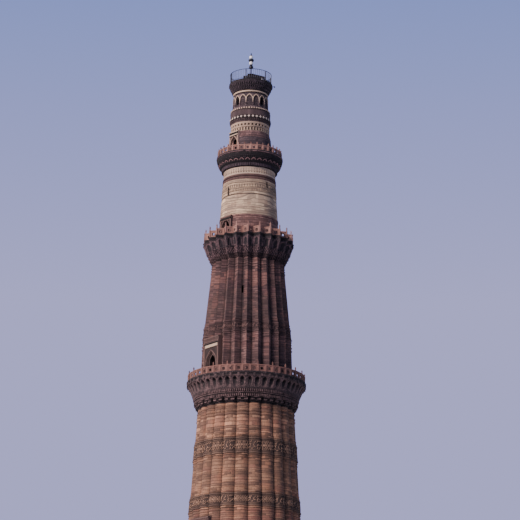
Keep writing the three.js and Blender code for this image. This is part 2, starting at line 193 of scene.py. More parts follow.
class AngularFlutePlan(Plan):
    """One flute with two flat faces that meet in a ridge."""

    def __init__(self, groove, turn=0):
        super().__init__(FLUTES, 4, turn, groove)

    def point(self, share):
        """The flute's point and outward direction at a share of its width."""
        side = 1 if share > 0 else -1
        foot = polar(side * FLUTE_ANGLE / 2, self.groove)
        along = min(1, abs(share) * 2)
        run, rise = foot[0], foot[1] + 1
        length = math.hypot(run, rise)
        return (run * along, -1 + rise * along), (side * abs(rise) / length, -abs(run) / length)


class MixedFlutePlan(Plan):
    """A round flute and the angular flute beside it."""

    def __init__(self, groove):
        super().__init__(FLUTES // 2, 1, 0, groove)
        self.round = RoundFlutePlan(groove)
        self.angular = AngularFlutePlan(groove)
        self.shares = self.round.shares + [share + 1 for share in self.angular.shares[1:]]

    def point(self, share):
        """The point and outward direction, with shares past a half on the angular flute."""
        if share <= 0.5:
            return self.round.point(share)
        place, outward = self.angular.point(share - 1)
        turn = Matrix.Rotation(math.radians(FLUTE_ANGLE), 2)
        return tuple(turn @ Vector(place)), tuple(turn @ Vector(outward))


MIXED = MixedFlutePlan(GROOVE_MIXED)
ROUND = RoundFlutePlan(GROOVE_ROUND)
ANGULAR = AngularFlutePlan(GROOVE_ANGULAR, ANGULAR_TURN)
STAR = AngularFlutePlan(GROOVE_STAR, ANGULAR_TURN)
SMOOTH = CirclePlan(ROUND_STEPS)


def on_plan(plan, share, radius, height, proud=0.0, depth=0.0):
    """A point on a plan: proud moves it away from the axis, and depth sinks it square to the face."""
    place, outward = plan.point(share)
    reach = math.hypot(*place)
    grown = (radius * reach + proud) / reach
    return (place[0] * grown - outward[0] * depth, place[1] * grown - outward[1] * depth, height)


# Stonework: points and faces of one cell or piece


class Masonry:
    """Points and faces of a piece, each point with its relief from 0 to 1: the materials paint shade where it
    is low and light where it is high.
    """

    def __init__(self):
        self.points = []
        self.faces = []
        self.relief = []

    def add(self, point, relief=0.6):
        """Adds a point and returns its number."""
        self.points.append(point)
        self.relief.append(relief)
        return len(self.points) - 1

    def grid(self, rows):
        """Joins rows of points with four-sided faces."""
        for lower, upper in zip(rows, rows[1:]):
            for a, b, c, d in zip(lower, lower[1:], upper[1:], upper):
                self.faces.append((a, b, c, d))

    def prism(self, *loops):
        """A closed solid through two or more loops of points."""
        self.grid([loop + loop[:1] for loop in loops])
        self.faces.append(tuple(reversed(loops[0])))
        self.faces.append(tuple(loops[-1]))

    def mesh(self, name):
        """A mesh in model metres, with the relief as a point attribute."""
        made = bpy.data.meshes.new(name)
        made.from_pydata([[real(value) for value in point] for point in self.points], [], self.faces)
        layer = made.attributes.new("relief", "FLOAT", "POINT")
        layer.data.foreach_set("value", self.relief)
        return made


def wall_cell(plan, levels, inner):
    """One cell of a ring wall: levels are (height, radius, proud, relief), inner are (height, radius)."""
    work = Masonry()
    rows = []
    for height, radius, proud, relief in levels:
        row = []
        for share in plan.shares:
            place, _ = plan.point(share)
            ridge = (math.hypot(*place) - plan.groove) / (1 - plan.groove)
            # The relief falls towards the grooves, and the stone's material paints shade there
            lightness = relief * (0.25 + 0.75 * min(1, max(0, ridge) ** 0.5))
            row.append(work.add(on_plan(plan, share, radius, height, proud), lightness))
        rows.append(row)
    for height, radius in inner:
        row = []
        for share in plan.shares:
            place, _ = plan.point(share)
            reach = math.hypot(*place)
            row.append(work.add((place[0] * radius / reach, place[1] * radius / reach, height), 0.3))
        rows.append(row)
    work.grid(rows + rows[:1])
    return work


NICHE = (1.0, 1.0, 0.95, 0.8, 0.55, 0)  # how deep a niche is at its sill, at its spring and up its arch
POCKET = (0, 0.6, 0.85, 1.0, 1.0, 0)  # flush at its sill and deepest under its point
NICHE_SILL, NICHE_APEX = 0.05, 0.95  # shares of the cell's height


def niche_cell(place, back, half, depth, spring, foot=None, sink=NICHE):
    """A cell with a hollowed pointed niche. place(share, rise, depth) maps it, back(share, rise) is
    its hidden side, and both run from -0.5 to 0.5 across and from 0 to 1 up. half is half its
    width, foot the same at its sill, and spring how high its arch starts."""
    work = Masonry()
    columns = (-1, -0.55, 0, 0.55, 1)
    sill = NICHE_SILL
    foot = foot or half
    levels = [(foot, sill, sink[0]), (half, spring, sink[1])]
    for step in range(1, 5):
        turn = math.radians(15 * step)
        width = half * (2 * math.cos(turn) - 1)
        height = spring + (NICHE_APEX - spring) * math.sin(turn) / math.sin(math.radians(60))
        levels.append((width, height, sink[step + 1]))
    hollow = []
    for width, height, share in levels:
        row = []
        for column in columns:
            # The deeper a point is sunk, the lower its relief, so the niche's hollow gets painted shade
            sunk = depth * share * (1 - abs(column) ** 2.2)
            row.append(work.add(place(width * column, height, sunk), 1 - 0.95 * min(1, sunk / depth * 1.4)))
        hollow.append(row)
    work.grid(hollow)
    rim_sides = [(0.5, sill), (0.5, spring), (0.5, (spring + 1) / 2), (0.5, 1), (0.25, 1), (0, 1)]
    edges = {}
    for side in (-1, 1):
        edge = [work.add(place(side * across, rise, 0), 0.75) for across, rise in rim_sides]
        rim = [row[0] if side < 0 else row[-1] for row in hollow]
        work.grid([edge, rim])
        edges[side] = edge
    feet = [work.add(place(foot * column, sill, 0), 0.7) for column in columns]
    work.grid([feet, hollow[0]])
    bottoms = [-0.5] + [foot * column for column in columns] + [0.5]
    bottom = [work.add(place(across, 0, 0), 0.5) for across in bottoms]
    work.grid([bottom, [edges[-1][0]] + feet + [edges[1][0]]])
    backs = {side: [work.add(back(side * 0.5, rise), 0) for rise in (0, sill, spring, 1)] for side in (-1, 1)}
    work.grid([backs[-1], backs[1]])
    work.faces.append(tuple(bottom) + (backs[1][0], backs[-1][0]))
    top = edges[-1][3:] + edges[1][4:2:-1]
    work.faces.append(tuple(top) + (backs[1][-1], backs[-1][-1]))
    return work


def panel_cell(place):
    """A pierced parapet panel: place(share, rise, depth) maps it, with depth from 0 to 1."""
    work = Masonry()
    square = ((-1, -1), (0, -1), (1, -1), (1, 0), (1, 1), (0, 1), (-1, 1), (-1, 0))
    hole = 0.17
    loops = []
    for size, depth, relief in (
        (0.5, 0, 1.0), (0.38, 0, 1.0), (0.35, 0.35, 0.6), (0.26, 0.35, 0.75),
        (hole, 0.35, 0.05), (hole, 0.8, 0.0), (0.34, 0.8, 0.4), (0.5, 1, 0.5),
    ):
        loop = []
        for across, up in square:
            reach = size / math.hypot(across, up) if size == hole else size
            loop.append(work.add(place(reach * across, 0.5 + reach * up, depth), relief))
        loops.append(loop)
    work.grid([loop + loop[:1] for loop in loops])
    first, last = loops[0], loops[-1]
    work.grid([first[:3], last[:3]])
    work.grid([first[4:7], last[4:7]])
    return work


def add_block(work, place, across, rise, depth, relief=0.9):
    """A block between two shares, two rises and two depths, bent along the plan."""
    corners = [(across[0], rise[0]), (across[1], rise[0]), (across[1], rise[1]), (across[0], rise[1])]
    inner = [work.add(place(share, up, depth[0]), relief * 0.4) for share, up in corners]
    outer = [work.add(place(share, up, depth[1]), relief) for share, up in corners]
    work.prism(inner, outer)


def add_stroke(work, place, path, width, depth, relief=1.0):
    """A raised strip along a path of (across, rise) points in metres; place maps (across, rise, depth)."""
    rows = []
    for number, (across, rise) in enumerate(path):
        before = path[max(0, number - 1)]
        after = path[min(len(path) - 1, number + 1)]
        run, climb = after[0] - before[0], after[1] - before[1]
        length = math.hypot(run, climb) or 1
        side = (-climb / length * width / 2, run / length * width / 2)
        left = (across - side[0], rise - side[1])
        right = (across + side[0], rise + side[1])
        rows.append([
            work.add(place(*edge, depth[level]), relief if level else relief * 0.3)
            for edge, level in ((left, 0), (left, 1), (right, 1), (right, 0))
        ])
    work.grid([row + row[:1] for row in rows])
    work.faces.append(tuple(rows[0]))
    work.faces.append(tuple(reversed(rows[-1])))


def add_square_post(work, levels, middle, relief=0.6):
    """A square post round the point at middle from the axis: levels are (height, half its width)."""
    rows = []
    for height, reach in levels:
        corners = ((-reach, -reach), (reach, -reach), (reach, reach), (-reach, reach))
        rows.append([work.add((x, y + middle, height), relief) for x, y in corners])
    work.prism(*rows)


def add_lozenge(work, profile, half, heights, depths, reliefs):
    """A raised lozenge on a round wall, whose outer face is smaller. half is half its angle."""
    low, high = heights
    middle = (low + high) / 2
    loops = []
    for size, depth, relief in zip((1, 0.8), depths, reliefs):
        loops.append([
            work.add(
                (*polar(across * size, radius_at(profile, rise) + depth), middle + (rise - middle) * size),
                relief,
            )
            for across, rise in ((0, low), (half, middle), (0, high), (-half, middle))
        ])
    work.prism(*loops)


def block(angle, outline, limits, relief=0.6):
    """A closed solid of one outline of (across, height), run out from the axis along an angle."""
    work = Masonry()
    loops = []
    for along in limits:
        out = polar(angle, along)
        loop = []
        for across, height in outline:
            side = polar(angle + 90, across)
            loop.append(work.add((out[0] + side[0], out[1] + side[1], height), relief))
        loops.append(loop)
    work.prism(*loops)
    return work


def flat_block(angle, width, inner, outer, bottom, top):
    """A closed block that stands out from the axis along an angle."""
    work = Masonry()
    rows = []
    for height in (bottom, top):
        row = []
        for across, along in ((-0.5, inner), (0.5, inner), (0.5, outer), (-0.5, outer)):
            out = polar(angle, along)
            side = polar(angle + 90, across * width)
            row.append(work.add((out[0] + side[0], out[1] + side[1], height)))
        rows.append(row)
    work.prism(*rows)
    return work


def arch_outline(width, height, steps=8):
    """A pointed arch on straight jambs, from its left foot over its point to its right foot."""
    half = width / 2
    spring = height - width * 0.75
    lift = width * 0.42
    left = []
    for step in range(steps + 1):
        share = step / steps
        across = -half * ((1 - share) ** 2 + 2 * share * (1 - share))
        rise = spring * (1 - share) ** 2 + 2 * share * (1 - share) * (spring + lift) + share ** 2 * height
        left.append((across, rise))
    right = [(-across, rise) for across, rise in reversed(left[:-1])]
    return [(-half, 0)] + left + right + [(half, 0)]


def arch_block(angle, width, height, bottom, inner, outer):
    """A closed solid in the shape of a pointed doorway, run out from the axis along an angle."""
    outline = [(across, bottom + rise) for across, rise in arch_outline(width, height)]
    return block(angle, outline, (inner, outer))


# Geometry Nodes: one tree repeats a cell round the axis


def ring_tree():
    """Repeats a cell round the axis, welds the cells together and gives them their stone."""
    name = "Repeat round the axis"
    if name in bpy.data.node_groups:
        return bpy.data.node_groups[name]
    tree = bpy.data.node_groups.new(name, "GeometryNodeTree")
    tree.is_modifier = True
    sockets = (
        ("Geometry", "NodeSocketGeometry", None),
        ("Cells", "NodeSocketInt", FLUTES),
        ("First Turn", "NodeSocketFloat", 0.0),
        ("Weld Distance", "NodeSocketFloat", WELD_DISTANCE),
        ("Stone", "NodeSocketMaterial", None),
    )
    for label, kind, default in sockets:
        socket = tree.interface.new_socket(name=label, in_out="INPUT", socket_type=kind)
        if default is not None:
            socket.default_value = default
    tree.interface.new_socket(name="Geometry", in_out="OUTPUT", socket_type="NodeSocketGeometry")
    nodes = {kind: tree.nodes.new(kind) for kind in (
        "NodeGroupInput", "NodeGroupOutput", "GeometryNodePoints", "GeometryNodeInputIndex",
        "ShaderNodeCombineXYZ", "GeometryNodeInstanceOnPoints", "GeometryNodeRealizeInstances",
        "GeometryNodeMergeByDistance", "GeometryNodeSetMaterial",
    )}
    given = nodes["NodeGroupInput"].outputs

    def maths(operation, first, second):
        """A Math node on two sockets or numbers."""
        node = tree.nodes.new("ShaderNodeMath")
        node.operation = operation
        for value, socket in zip((first, second), node.inputs):
            if isinstance(value, (int, float)):
                socket.default_value = value
            else:
                tree.links.new(value, socket)
        return node.outputs[0]

    whole_turn = maths("DIVIDE", 2 * math.pi, given["Cells"])
    turn = maths("MULTIPLY", nodes["GeometryNodeInputIndex"].outputs[0], whole_turn)
    angle = maths("ADD", turn, given["First Turn"])
    join = tree.links.new
    join(given["Cells"], nodes["GeometryNodePoints"].inputs["Count"])
    join(angle, nodes["ShaderNodeCombineXYZ"].inputs["Z"])
    instance = nodes["GeometryNodeInstanceOnPoints"]
    join(nodes["GeometryNodePoints"].outputs[0], instance.inputs["Points"])
    join(given["Geometry"], instance.inputs["Instance"])
    join(nodes["ShaderNodeCombineXYZ"].outputs[0], instance.inputs["Rotation"])
    join(instance.outputs[0], nodes["GeometryNodeRealizeInstances"].inputs["Geometry"])
    weld = nodes["GeometryNodeMergeByDistance"]
    join(nodes["GeometryNodeRealizeInstances"].outputs[0], weld.inputs["Geometry"])
    join(given["Weld Distance"], weld.inputs["Distance"])
    stone = nodes["GeometryNodeSetMaterial"]
    join(weld.outputs[0], stone.inputs["Geometry"])
    join(given["Stone"], stone.inputs["Material"])
    join(stone.outputs[0], nodes["NodeGroupOutput"].inputs[0])
    return tree


def evaluated_mesh(thing):
    """The plain mesh of an object with its modifiers applied."""
    graph = bpy.context.evaluated_depsgraph_get()
    return bpy.data.meshes.new_from_object(thing.evaluated_get(graph), depsgraph=graph)


def ring(cell, cells, stone, turn=0.0):
    """The mesh of a cell repeated round the axis by the node tree."""
    thing = bpy.data.objects.new("ring_cell", cell.mesh("ring_cell"))
    bpy.context.scene.collection.objects.link(thing)
    modifier = thing.modifiers.new("Ring", "NODES")
    tree = ring_tree()
    modifier.node_group = tree
    values = {
        "Cells": cells, "First Turn": math.radians(turn), "Weld Distance": WELD_DISTANCE, "Stone": stone,
    }
    for socket in tree.interface.items_tree:
        if socket.name in values:
            modifier[socket.identifier] = values[socket.name]
    mesh = evaluated_mesh(thing)
    bpy.data.objects.remove(thing)
    return mesh


def joined(meshes, stone):
    """One mesh made of several, with every closed shell facing outwards."""
    shape = bmesh.new()
    for mesh in meshes:
        shape.from_mesh(mesh)
    bmesh.ops.recalc_face_normals(shape, faces=shape.faces)
    result = bpy.data.meshes.new("joined")
    shape.to_mesh(result)
    shape.free()
    result.materials.clear()
    result.materials.append(stone)
    result.polygons.foreach_set("material_index", [0] * len(result.polygons))
    return result


def carved(mesh, cutters):
    """A mesh with the cutters' solids taken out of it."""
    body = bpy.data.objects.new("carving", mesh)
    bpy.context.scene.collection.objects.link(body)
    tools = []
    for cutter in cutters:
        shape = joined([cutter.mesh("cutter")], mesh.materials[0])
        tool = bpy.data.objects.new("cutter", shape)
        bpy.context.scene.collection.objects.link(tool)
        tools.append(tool)
        modifier = body.modifiers.new("Cut", "BOOLEAN")
        modifier.operation = "DIFFERENCE"
        modifier.solver = "MANIFOLD"
        modifier.object = tool
    result = evaluated_mesh(body)
    for thing in [body] + tools:
        bpy.data.objects.remove(thing)
    return result


def round_map(cells, heights, radii, power=1.0):
    """A mapping from (share of a cell, rise, depth) to a point of a round wall. radii is its
    radius, or a lower and an upper one."""
    angle = 360 / cells
    low, high = heights
    start, end = radii if isinstance(radii, tuple) else (radii, radii)

    def place(share, rise, sunk=0.0):
        radius = start + (end - start) * rise ** power - sunk
        return (*polar(share * angle, radius), low + (high - low) * rise)

    return place


class Piece:
    """A piece in the making: its stone, and the closed meshes that it will be joined from."""

    def __init__(self, look):
        self.stone = material(look)
        self.parts = []

    def add(self, *solids):
        """Adds closed solids as they stand."""
        self.parts += [solid.mesh("solid") for solid in solids]

    def ring(self, cell, cells, turn=0.0):
        """Adds a cell repeated round the axis."""
        self.parts.append(ring(cell, cells, self.stone, turn))

    def wall(self, plan, levels, bore=None):
        """Adds a wall of (height, radius, proud, relief) levels round a bore. Without a bore the
        levels are a closed section of their own."""
        inner = () if bore is None else ((levels[-1][0], bore), (levels[0][0], bore))
        self.ring(wall_cell(plan, levels, inner), plan.cells, plan.turn)

    def lathe(self, section, relief=0.6, plan=SMOOTH):
        """Adds a ring whose section is a closed loop of (height, radius)."""
        self.wall(plan, [(height, radius, 0, relief) for height, radius in section])

    def teeth(self, cells, heights, radii, proud, relief=1.0, half=0.28, turn=0.0, sunk=0.12):
        """Adds a row of small square teeth round the tower. half is half a tooth's share of its
        cell, and sunk how deep its foot stands in the wall."""
        work = Masonry()
        place = round_map(cells, heights, radii)
        add_block(work, place, (-half, half), (0, 1), (sunk, -proud), relief)
        self.ring(work, cells, turn)

    def niches(self, cells, heights, radii, wall, depth, half, spring, foot=None, sink=NICHE):
        """Adds a round tier of niches, with its hidden back at the radius wall."""
        place = round_map(cells, heights, radii, 1.4)
        back = round_map(cells, heights, wall)
        self.ring(niche_cell(place, back, half, depth, spring, foot, sink), cells)

    def carve(self, cutters):
        """Takes the cutters' solids out of every mesh added so far."""
        self.parts = [carved(joined([part], self.stone), cutters) for part in self.parts]

    def finish(self, name, slot, *nodes, wear=0.0, crease=30, bevel=0.0):
        """Makes the object, rounds its shading up to an angle, hangs it on the body and hides the CAD parts
        that it stands for. wear moves its points a little, points that touch moving alike."""
        mesh = joined(self.parts, self.stone)
        if wear:
            noise.seed_set(WEAR_SEED)
            for point in mesh.vertices:
                point.co += noise.noise_vector(point.co * WEAR_FREQUENCY) * real(wear)
        mesh.name = name
        mesh.shade_smooth()
        mesh.set_sharp_from_angle(angle=math.radians(crease))
        piece = bpy.data.objects.new(name, mesh)
        bpy.context.scene.collection.objects.link(piece)
        if bevel:
            rounding = piece.modifiers.new("Worn edges", "BEVEL")
            rounding.width = real(bevel)
            rounding.segments = 2
            rounding.limit_method = "ANGLE"
        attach(piece, BODY)
        if nodes:
            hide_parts(*nodes)

# Materials


class Socket:
    """An output of a material's node, so that sums of masks read as plain expressions."""

    def __init__(self, finish, output):
        self.finish = finish
        self.output = output

    def __add__(self, other):
        return self.finish.maths("ADD", self, other)

    def __radd__(self, other):
        return self.finish.maths("ADD", other, self)

    def __sub__(self, other):
        return self.finish.maths("SUBTRACT", self, other)

    def __rsub__(self, other):
        return self.finish.maths("SUBTRACT", other, self)

    def __mul__(self, other):
        return self.finish.maths("MULTIPLY", self, other)

    def __rmul__(self, other):
        return self.finish.maths("MULTIPLY", other, self)

    def __truediv__(self, other):
        return self.finish.maths("DIVIDE", self, other)


class Finish:
    """A node material that is built from expressions."""

    def __init__(self, name, roughness=0.9, metallic=0.0):
        self.material = bpy.data.materials.new(name)
        self.material.use_nodes = True
        self.tree = self.material.node_tree
        self.surface = self.tree.nodes["Principled BSDF"]
        self.surface.inputs["Roughness"].default_value = roughness
        self.surface.inputs["Metallic"].default_value = metallic

    def node(self, kind, settings=None, sockets=None, output=0):
        """Adds a node: its settings first, then the values or links of its sockets."""
        node = self.tree.nodes.new(kind)
        for key, value in (settings or {}).items():
            if key == "stops":
                set_stops(node.color_ramp, value)
            else:
                setattr(node, key, value)
        for key, value in (sockets or {}).items():
            self.connect(value, node.inputs[key])
        return Socket(self, node.outputs[output])

    def connect(self, value, socket):
        """Links a socket, or sets a plain value on it."""
        if isinstance(value, Socket):
            self.tree.links.new(value.output, socket)
        else:
            socket.default_value = value

    def maths(self, operation, *values):
        """A Math node on up to three values."""
        return self.node("ShaderNodeMath", {"operation": operation}, dict(enumerate(values)))

    def mix(self, factor, first, second):
        """A colour between two colours."""
        settings = {"data_type": "RGBA", "clamp_factor": True}
        return self.node("ShaderNodeMix", settings, {0: factor, 6: first, 7: second}, 2)

    def layer(self, colour, mask, low, high, strength, tone):
        """A colour with a tone laid over it where a mask rises from low to high."""
        return self.mix(self.between(mask, low, high) * strength, colour, tone)

    def between(self, value, low, high):
        """0 below low, 1 above high and smooth between them."""
        settings = {"interpolation_type": "SMOOTHSTEP"}
        return self.node("ShaderNodeMapRange", settings, {0: value, 1: low, 2: high, 3: 0.0, 4: 1.0})

    def vector(self, x, y, z):
        """A vector of three values."""
        return self.node("ShaderNodeCombineXYZ", None, {0: x, 1: y, 2: z})

    def noise(self, where, scale, detail, roughness):
        """Fractal noise from about 0.3 to 0.7."""
        sockets = {"Vector": where, "Scale": scale, "Detail": detail, "Roughness": roughness}
        return self.node("ShaderNodeTexNoise", None, sockets)

    def stretched(self, x, y, z, detail, roughness):
        """Fractal noise that is stretched by what its three coordinates are made of."""
        return self.noise(self.vector(x, y, z), 1.0, detail, roughness)

    def turns(self, x, y):
        """How far round the axis the point is, in turns from -0.5 to 0.5."""
        return self.maths("ARCTAN2", x, 0 - y) / (2 * math.pi)

    def chance(self, x, y, seed):
        """A random value from 0 to 1 for each whole pair of numbers."""
        return self.node("ShaderNodeTexWhiteNoise", None, {"Vector": self.vector(x, y, seed)})

    def colours(self, value, stops):
        """A colour from a ramp."""
        return self.node("ShaderNodeValToRGB", {"stops": stops}, {"Fac": value})

    def place(self):
        """The point on the object, and its three coordinates."""
        where = self.node("ShaderNodeTexCoord", output=3)
        parts = self.node("ShaderNodeSeparateXYZ", None, {0: where})
        outputs = parts.output.node.outputs
        return where, [Socket(self, outputs[axis]) for axis in range(3)]

    def relief(self):
        """How proud the stone stands here, as the piece's own attribute says, for painted shade and light."""
        return self.node("ShaderNodeAttribute", {"attribute_name": "relief"}, output=2)

    def finish(self, colour, height=None, depth=0.0, roughness=None):
        """Gives the surface its colour, its bumps and its roughness."""
        self.connect(colour, self.surface.inputs["Base Color"])
        if roughness is not None:
            self.connect(roughness, self.surface.inputs["Roughness"])
        if height is not None:
            sockets = {"Strength": 1.0, "Distance": depth, "Height": height}
            bump = self.node("ShaderNodeBump", None, sockets)
            self.connect(bump, self.surface.inputs["Normal"])
        return self.material


def set_stops(ramp, stops):
    """Sets a colour ramp's stops from (position, colour) pairs."""
    while len(ramp.elements) > 1:
        ramp.elements.remove(ramp.elements[-1])
    for number, (position, colour) in enumerate(stops):
        stop = ramp.elements[0] if number == 0 else ramp.elements.new(position)
        stop.position = position
        stop.color = (*colour[:3], 1)


PLAIN = (1.0, 1.0, 1.0)
COLD = (0.95, 0.95, 1.05)  # tints of soot and of dirt
BLUISH = (0.9, 0.95, 1.1)


def shaded(colour, factor, tint=PLAIN):
    """A colour made lighter or darker and a little tinted."""
    return tuple(min(1, value * factor * part) for value, part in zip(colour, tint)) + (1,)


def ashlar(name, base, course, columns, turn=0.0, spread=0.35, dirt=0.5, streaks=0.4, blush=0.0,
           joint=0.02, upright=0.3, waver=0.0, warm=0.0, zones=()):
    """Coursed stone round the tower: courses of varied tone, joints, blotches, streaks and dirt, and painted
    shade in the grooves between flutes.
    course is the height of a course and columns the number of blocks in it. spread is how much the
    blocks differ, blush and warm how strong the pink and the redder ones are, upright how strong
    the upright joints are, and waver how uneven the courses run. zones are bands of another shade:
    (bottom, top, factor, tint, strength)."""
    stone = Finish(name)
    stones = bpy.context.scene.minaret_stone
    where, (x, y, z) = stone.place()
    up = z / MODEL_SCALE
    turns = stone.turns(x, y)

    def tone(factor, tint=PLAIN):
        return shaded(base, factor, tint)

    def whole(value):
        return stone.maths("FLOOR", value)

    def numbered(value, count):
        return stone.maths("FLOORED_MODULO", whole(value), count)

    # Which block the point is on, in courses that waver a little and in flutes
    round_about = turns * columns - (turn * columns / 360 - 0.5) + columns
    drift = stone.stretched(x * 0.5, y * 0.5, z * 0.9, 3.0, 0.6)
    slow, quick = stone.maths("SINE", up * 1.9), stone.maths("SINE", up * 5.3)
    wavy = up + 0.11 * slow + 0.05 * quick + drift * waver
    rise = wavy / course
    row = whole(rise)
    shifted = round_about + stone.maths("FRACT", row / 2)
    column = numbered(shifted, columns)
    flute = numbered(turns * FLUTES - (turn * FLUTES / 360 - 0.5) + FLUTES, FLUTES)
    bed_group = whole(wavy / (course * 4.5) + flute * 0.37)

    # Its own tone, that of its neighbours and that of its course
    chance = stone.chance(column, row, 0.5)
    group_chance = stone.chance(flute, bed_group, 4.5)
    course_chance = stone.chance(whole(rise * 0.5), 3.0, 0.5)
    blocks = stone.colours(chance * 0.42 + group_chance * 0.34 + course_chance * 0.24, [
        (0.27, tone(1 - spread, COLD)),
        (0.4, tone(1 - spread * 0.45, (1.05, 0.96, 0.94))),
        (0.5, base),
        (0.6, tone(1 + spread * 0.4, (1.0, 1.03, 1.0))),
        (0.74, tone(1 + spread * 1.1, (1.02, 1.0, 0.95))),
    ])
    level = up + (drift - 0.5) * spread * 4
    for bottom, top, factor, tint, strength in zones:
        over_bottom = stone.between(level, bottom - 0.04, bottom + 0.04)
        inside = over_bottom * (1 - stone.between(level, top - 0.04, top + 0.04))
        blocks = stone.mix(inside * strength, blocks, tone(factor, tint))
    pink_chance = stone.chance(flute, whole(wavy / (course * 2)), 9.5)
    red_patch = stone.stretched(turns * 22, up * 0.7, 8.0, 3.0, 0.6)
    charred = stone.chance(column, whole(rise * 0.5 + 0.3), 7.5)
    worn_bed = stone.chance(row, whole(turns * FLUTES / 4), 6.5)
    for mask, low, high, strength, factor, tint in (
        (pink_chance, 0.6, 0.8, blush, 0.85, (1.0, 0.72, 0.85)),
        (red_patch, 0.5, 0.62, warm, 1.5, (1.14, 0.93, 0.8)),
        (charred, 0.8, 0.84, spread, 0.36, COLD),
        (worn_bed, 0.8, 0.84, spread, 0.5, COLD),
    ):
        blocks = stone.layer(blocks, mask, low, high, strength, tone(factor, tint))

    # Joints between the blocks, the beds' more open than the upright ones
    bed = stone.maths("ABSOLUTE", stone.maths("FRACT", rise) - 0.5) * -course + course * 0.5
    radius = stone.maths("SQRT", x * x + y * y)
    side = stone.maths("ABSOLUTE", stone.maths("FRACT", shifted) - 0.5) * -1.0 + 0.5
    width = stones.joint_width + joint
    open_bed = (1 - stone.between(bed, width * 0.25, width)) * (0.35 + 0.65 * chance)
    open_side = 1 - stone.between(side * radius * (4 * math.pi / columns), width * 0.25, width)
    open_joint = stone.maths("MAXIMUM", open_bed, open_side * upright)

    # Dirt and wear over all of it
    grain = stone.noise(where, 9.0, 6.0, 0.7)
    blotch = stone.noise(where, 0.55, 5.0, 0.62)
    patch = stone.stretched(turns * 26, up * 1.1, 1.5, 5.0, 0.7)
    streak = stone.stretched(turns * 60, up * 0.09, 0.0, 4.0, 0.6)
    smear = stone.stretched(turns * 14, wavy * 3.2, 5.0, 4.0, 0.7)
    colour = blocks
    for mask, low, high, strength, factor, tint in (
        (blotch, 0.42, 0.66, dirt, 0.42, BLUISH),
        (patch, 0.5, 0.68, dirt, 0.45, (0.92, 0.95, 1.1)),
        (smear, 0.5, 0.3, spread, 1.45, (1.0, 1.0, 0.95)),
        (smear, 0.54, 0.7, spread, 0.6, (0.97, 0.97, 1.0)),
        (streak, 0.5, 0.72, streaks, 0.3, (0.9, 0.95, 1.15)),
        (grain, 0.35, 0.7, 0.3, 0.6, PLAIN),
    ):
        colour = stone.layer(colour, mask, low, high, strength, tone(factor, tint))
    # Painted shade in the grooves between flutes, where the points' relief is low
    valley = 1 - stone.between(stone.relief(), 0.15, 0.56)
    colour = stone.mix(valley * stones.groove_dirt, colour, tone(0.16, (0.85, 0.9, 1.2)))
    colour = stone.mix(open_joint * 0.85, colour, tone(0.28, BLUISH))
    height = grain * 0.35 + chance * 0.3 + patch * 0.4 - open_joint
    return stone.finish(colour, height, real(0.035))


def sooted(name, base, light, scale=1.0, ground=0.35, wear=0.6):
    """Stone black with soot, with painted shade in its hollows, and lighter where it stands proud as worn
    stone and painted light. ground is how light the painted shade in the hollows is, and wear how strong the
    small dark patches are."""
    stone = Finish(name, 0.95)
    where, (x, y, z) = stone.place()
    relief = stone.relief()
    blotch = stone.noise(where, 1.3 * scale, 5.0, 0.65)
    grain = stone.noise(where, 14.0, 5.0, 0.7)
    flecks = stone.noise(where, 5.0, 3.0, 0.6)
    broken = stone.noise(where, 4.6 * scale, 4.0, 0.7)
    specks = stone.noise(where, 24.0, 3.0, 0.6)
    streak = stone.stretched(stone.turns(x, y) * 90, z / MODEL_SCALE * 0.25, 0.0, 4.0, 0.65)
    # Lighter where the relief is high, as worn stone and painted light, broken by blotches and streaks
    lightness = stone.between(relief * 0.9 + blotch * 0.6 + streak * 0.4, 0.95, 1.45)
    colour = stone.mix(lightness, base, light)
    # Flecks and specks are lighter on what stands proud, as worn grit and painted light; the last layer is
    # painted shade in the hollows
    for mask, low, high, strength, tone in (
        (streak, 0.5, 0.7, 0.55, shaded(base, 0.7)),
        (grain, 0.5, 0.65, 0.6, shaded(base, 0.8)),
        (flecks, 0.56, 0.66, relief * 0.7, shaded(light, 1.6)),
        (broken, 0.5, 0.6, wear, shaded(base, 0.9)),
        (specks, 0.54, 0.62, relief * 0.6, shaded(light, 1.4)),
        (relief, 0.45, 0.05, 0.85, shaded(base, ground)),
    ):
        colour = stone.layer(colour, mask, low, high, strength, tone)
    return stone.finish(colour, grain * 0.8 + blotch * 0.8, real(0.045))


def cut_stone(name, base, spread=0.3, dirt=0.4, scale=1.0, ground=0.25, ridge=1.0):
    """Dressed stone without courses, for carved frames, panels and rings. ground is how light the painted
    shade in the carving's hollows is, and ridge how strong the painted light on what stands proud is."""
    stone = Finish(name, 0.88)
    where, (x, y, z) = stone.place()
    relief = stone.relief()
    grain = stone.noise(where, 12.0, 6.0, 0.7)
    blotch = stone.noise(where, 1.6 * scale, 5.0, 0.65)
    panel = stone.maths("FLOOR", stone.turns(x, y) * PANELS + 0.5)
    colour = stone.colours(stone.chance(panel, stone.maths("FLOOR", z * 0.7), 2.5), [
        (0.0, shaded(base, 1 - spread, (0.95, 0.9, 0.95))),
        (0.5, base),
        (1.0, shaded(base, 1 + spread, (1.0, 1.02, 1.0))),
    ])
    for mask, low, high, strength, factor, tint in (
        # painted light on what stands proud
        (relief, 0.8, 1.0, 1.0, ridge, (1.0, 1.0, 0.95)),
        (blotch, 0.42, 0.68, dirt, 0.4, BLUISH),
        (grain, 0.4, 0.7, 0.3, 0.6, PLAIN),
        # painted shade in the carving's hollows
        (relief, 0.6, 0.1, 0.88, ground, (0.9, 0.9, 1.1)),
    ):
        colour = stone.layer(colour, mask, low, high, strength, shaded(base, factor, tint))
    return stone.finish(colour, grain * 0.7 + blotch * 0.4, real(0.02))


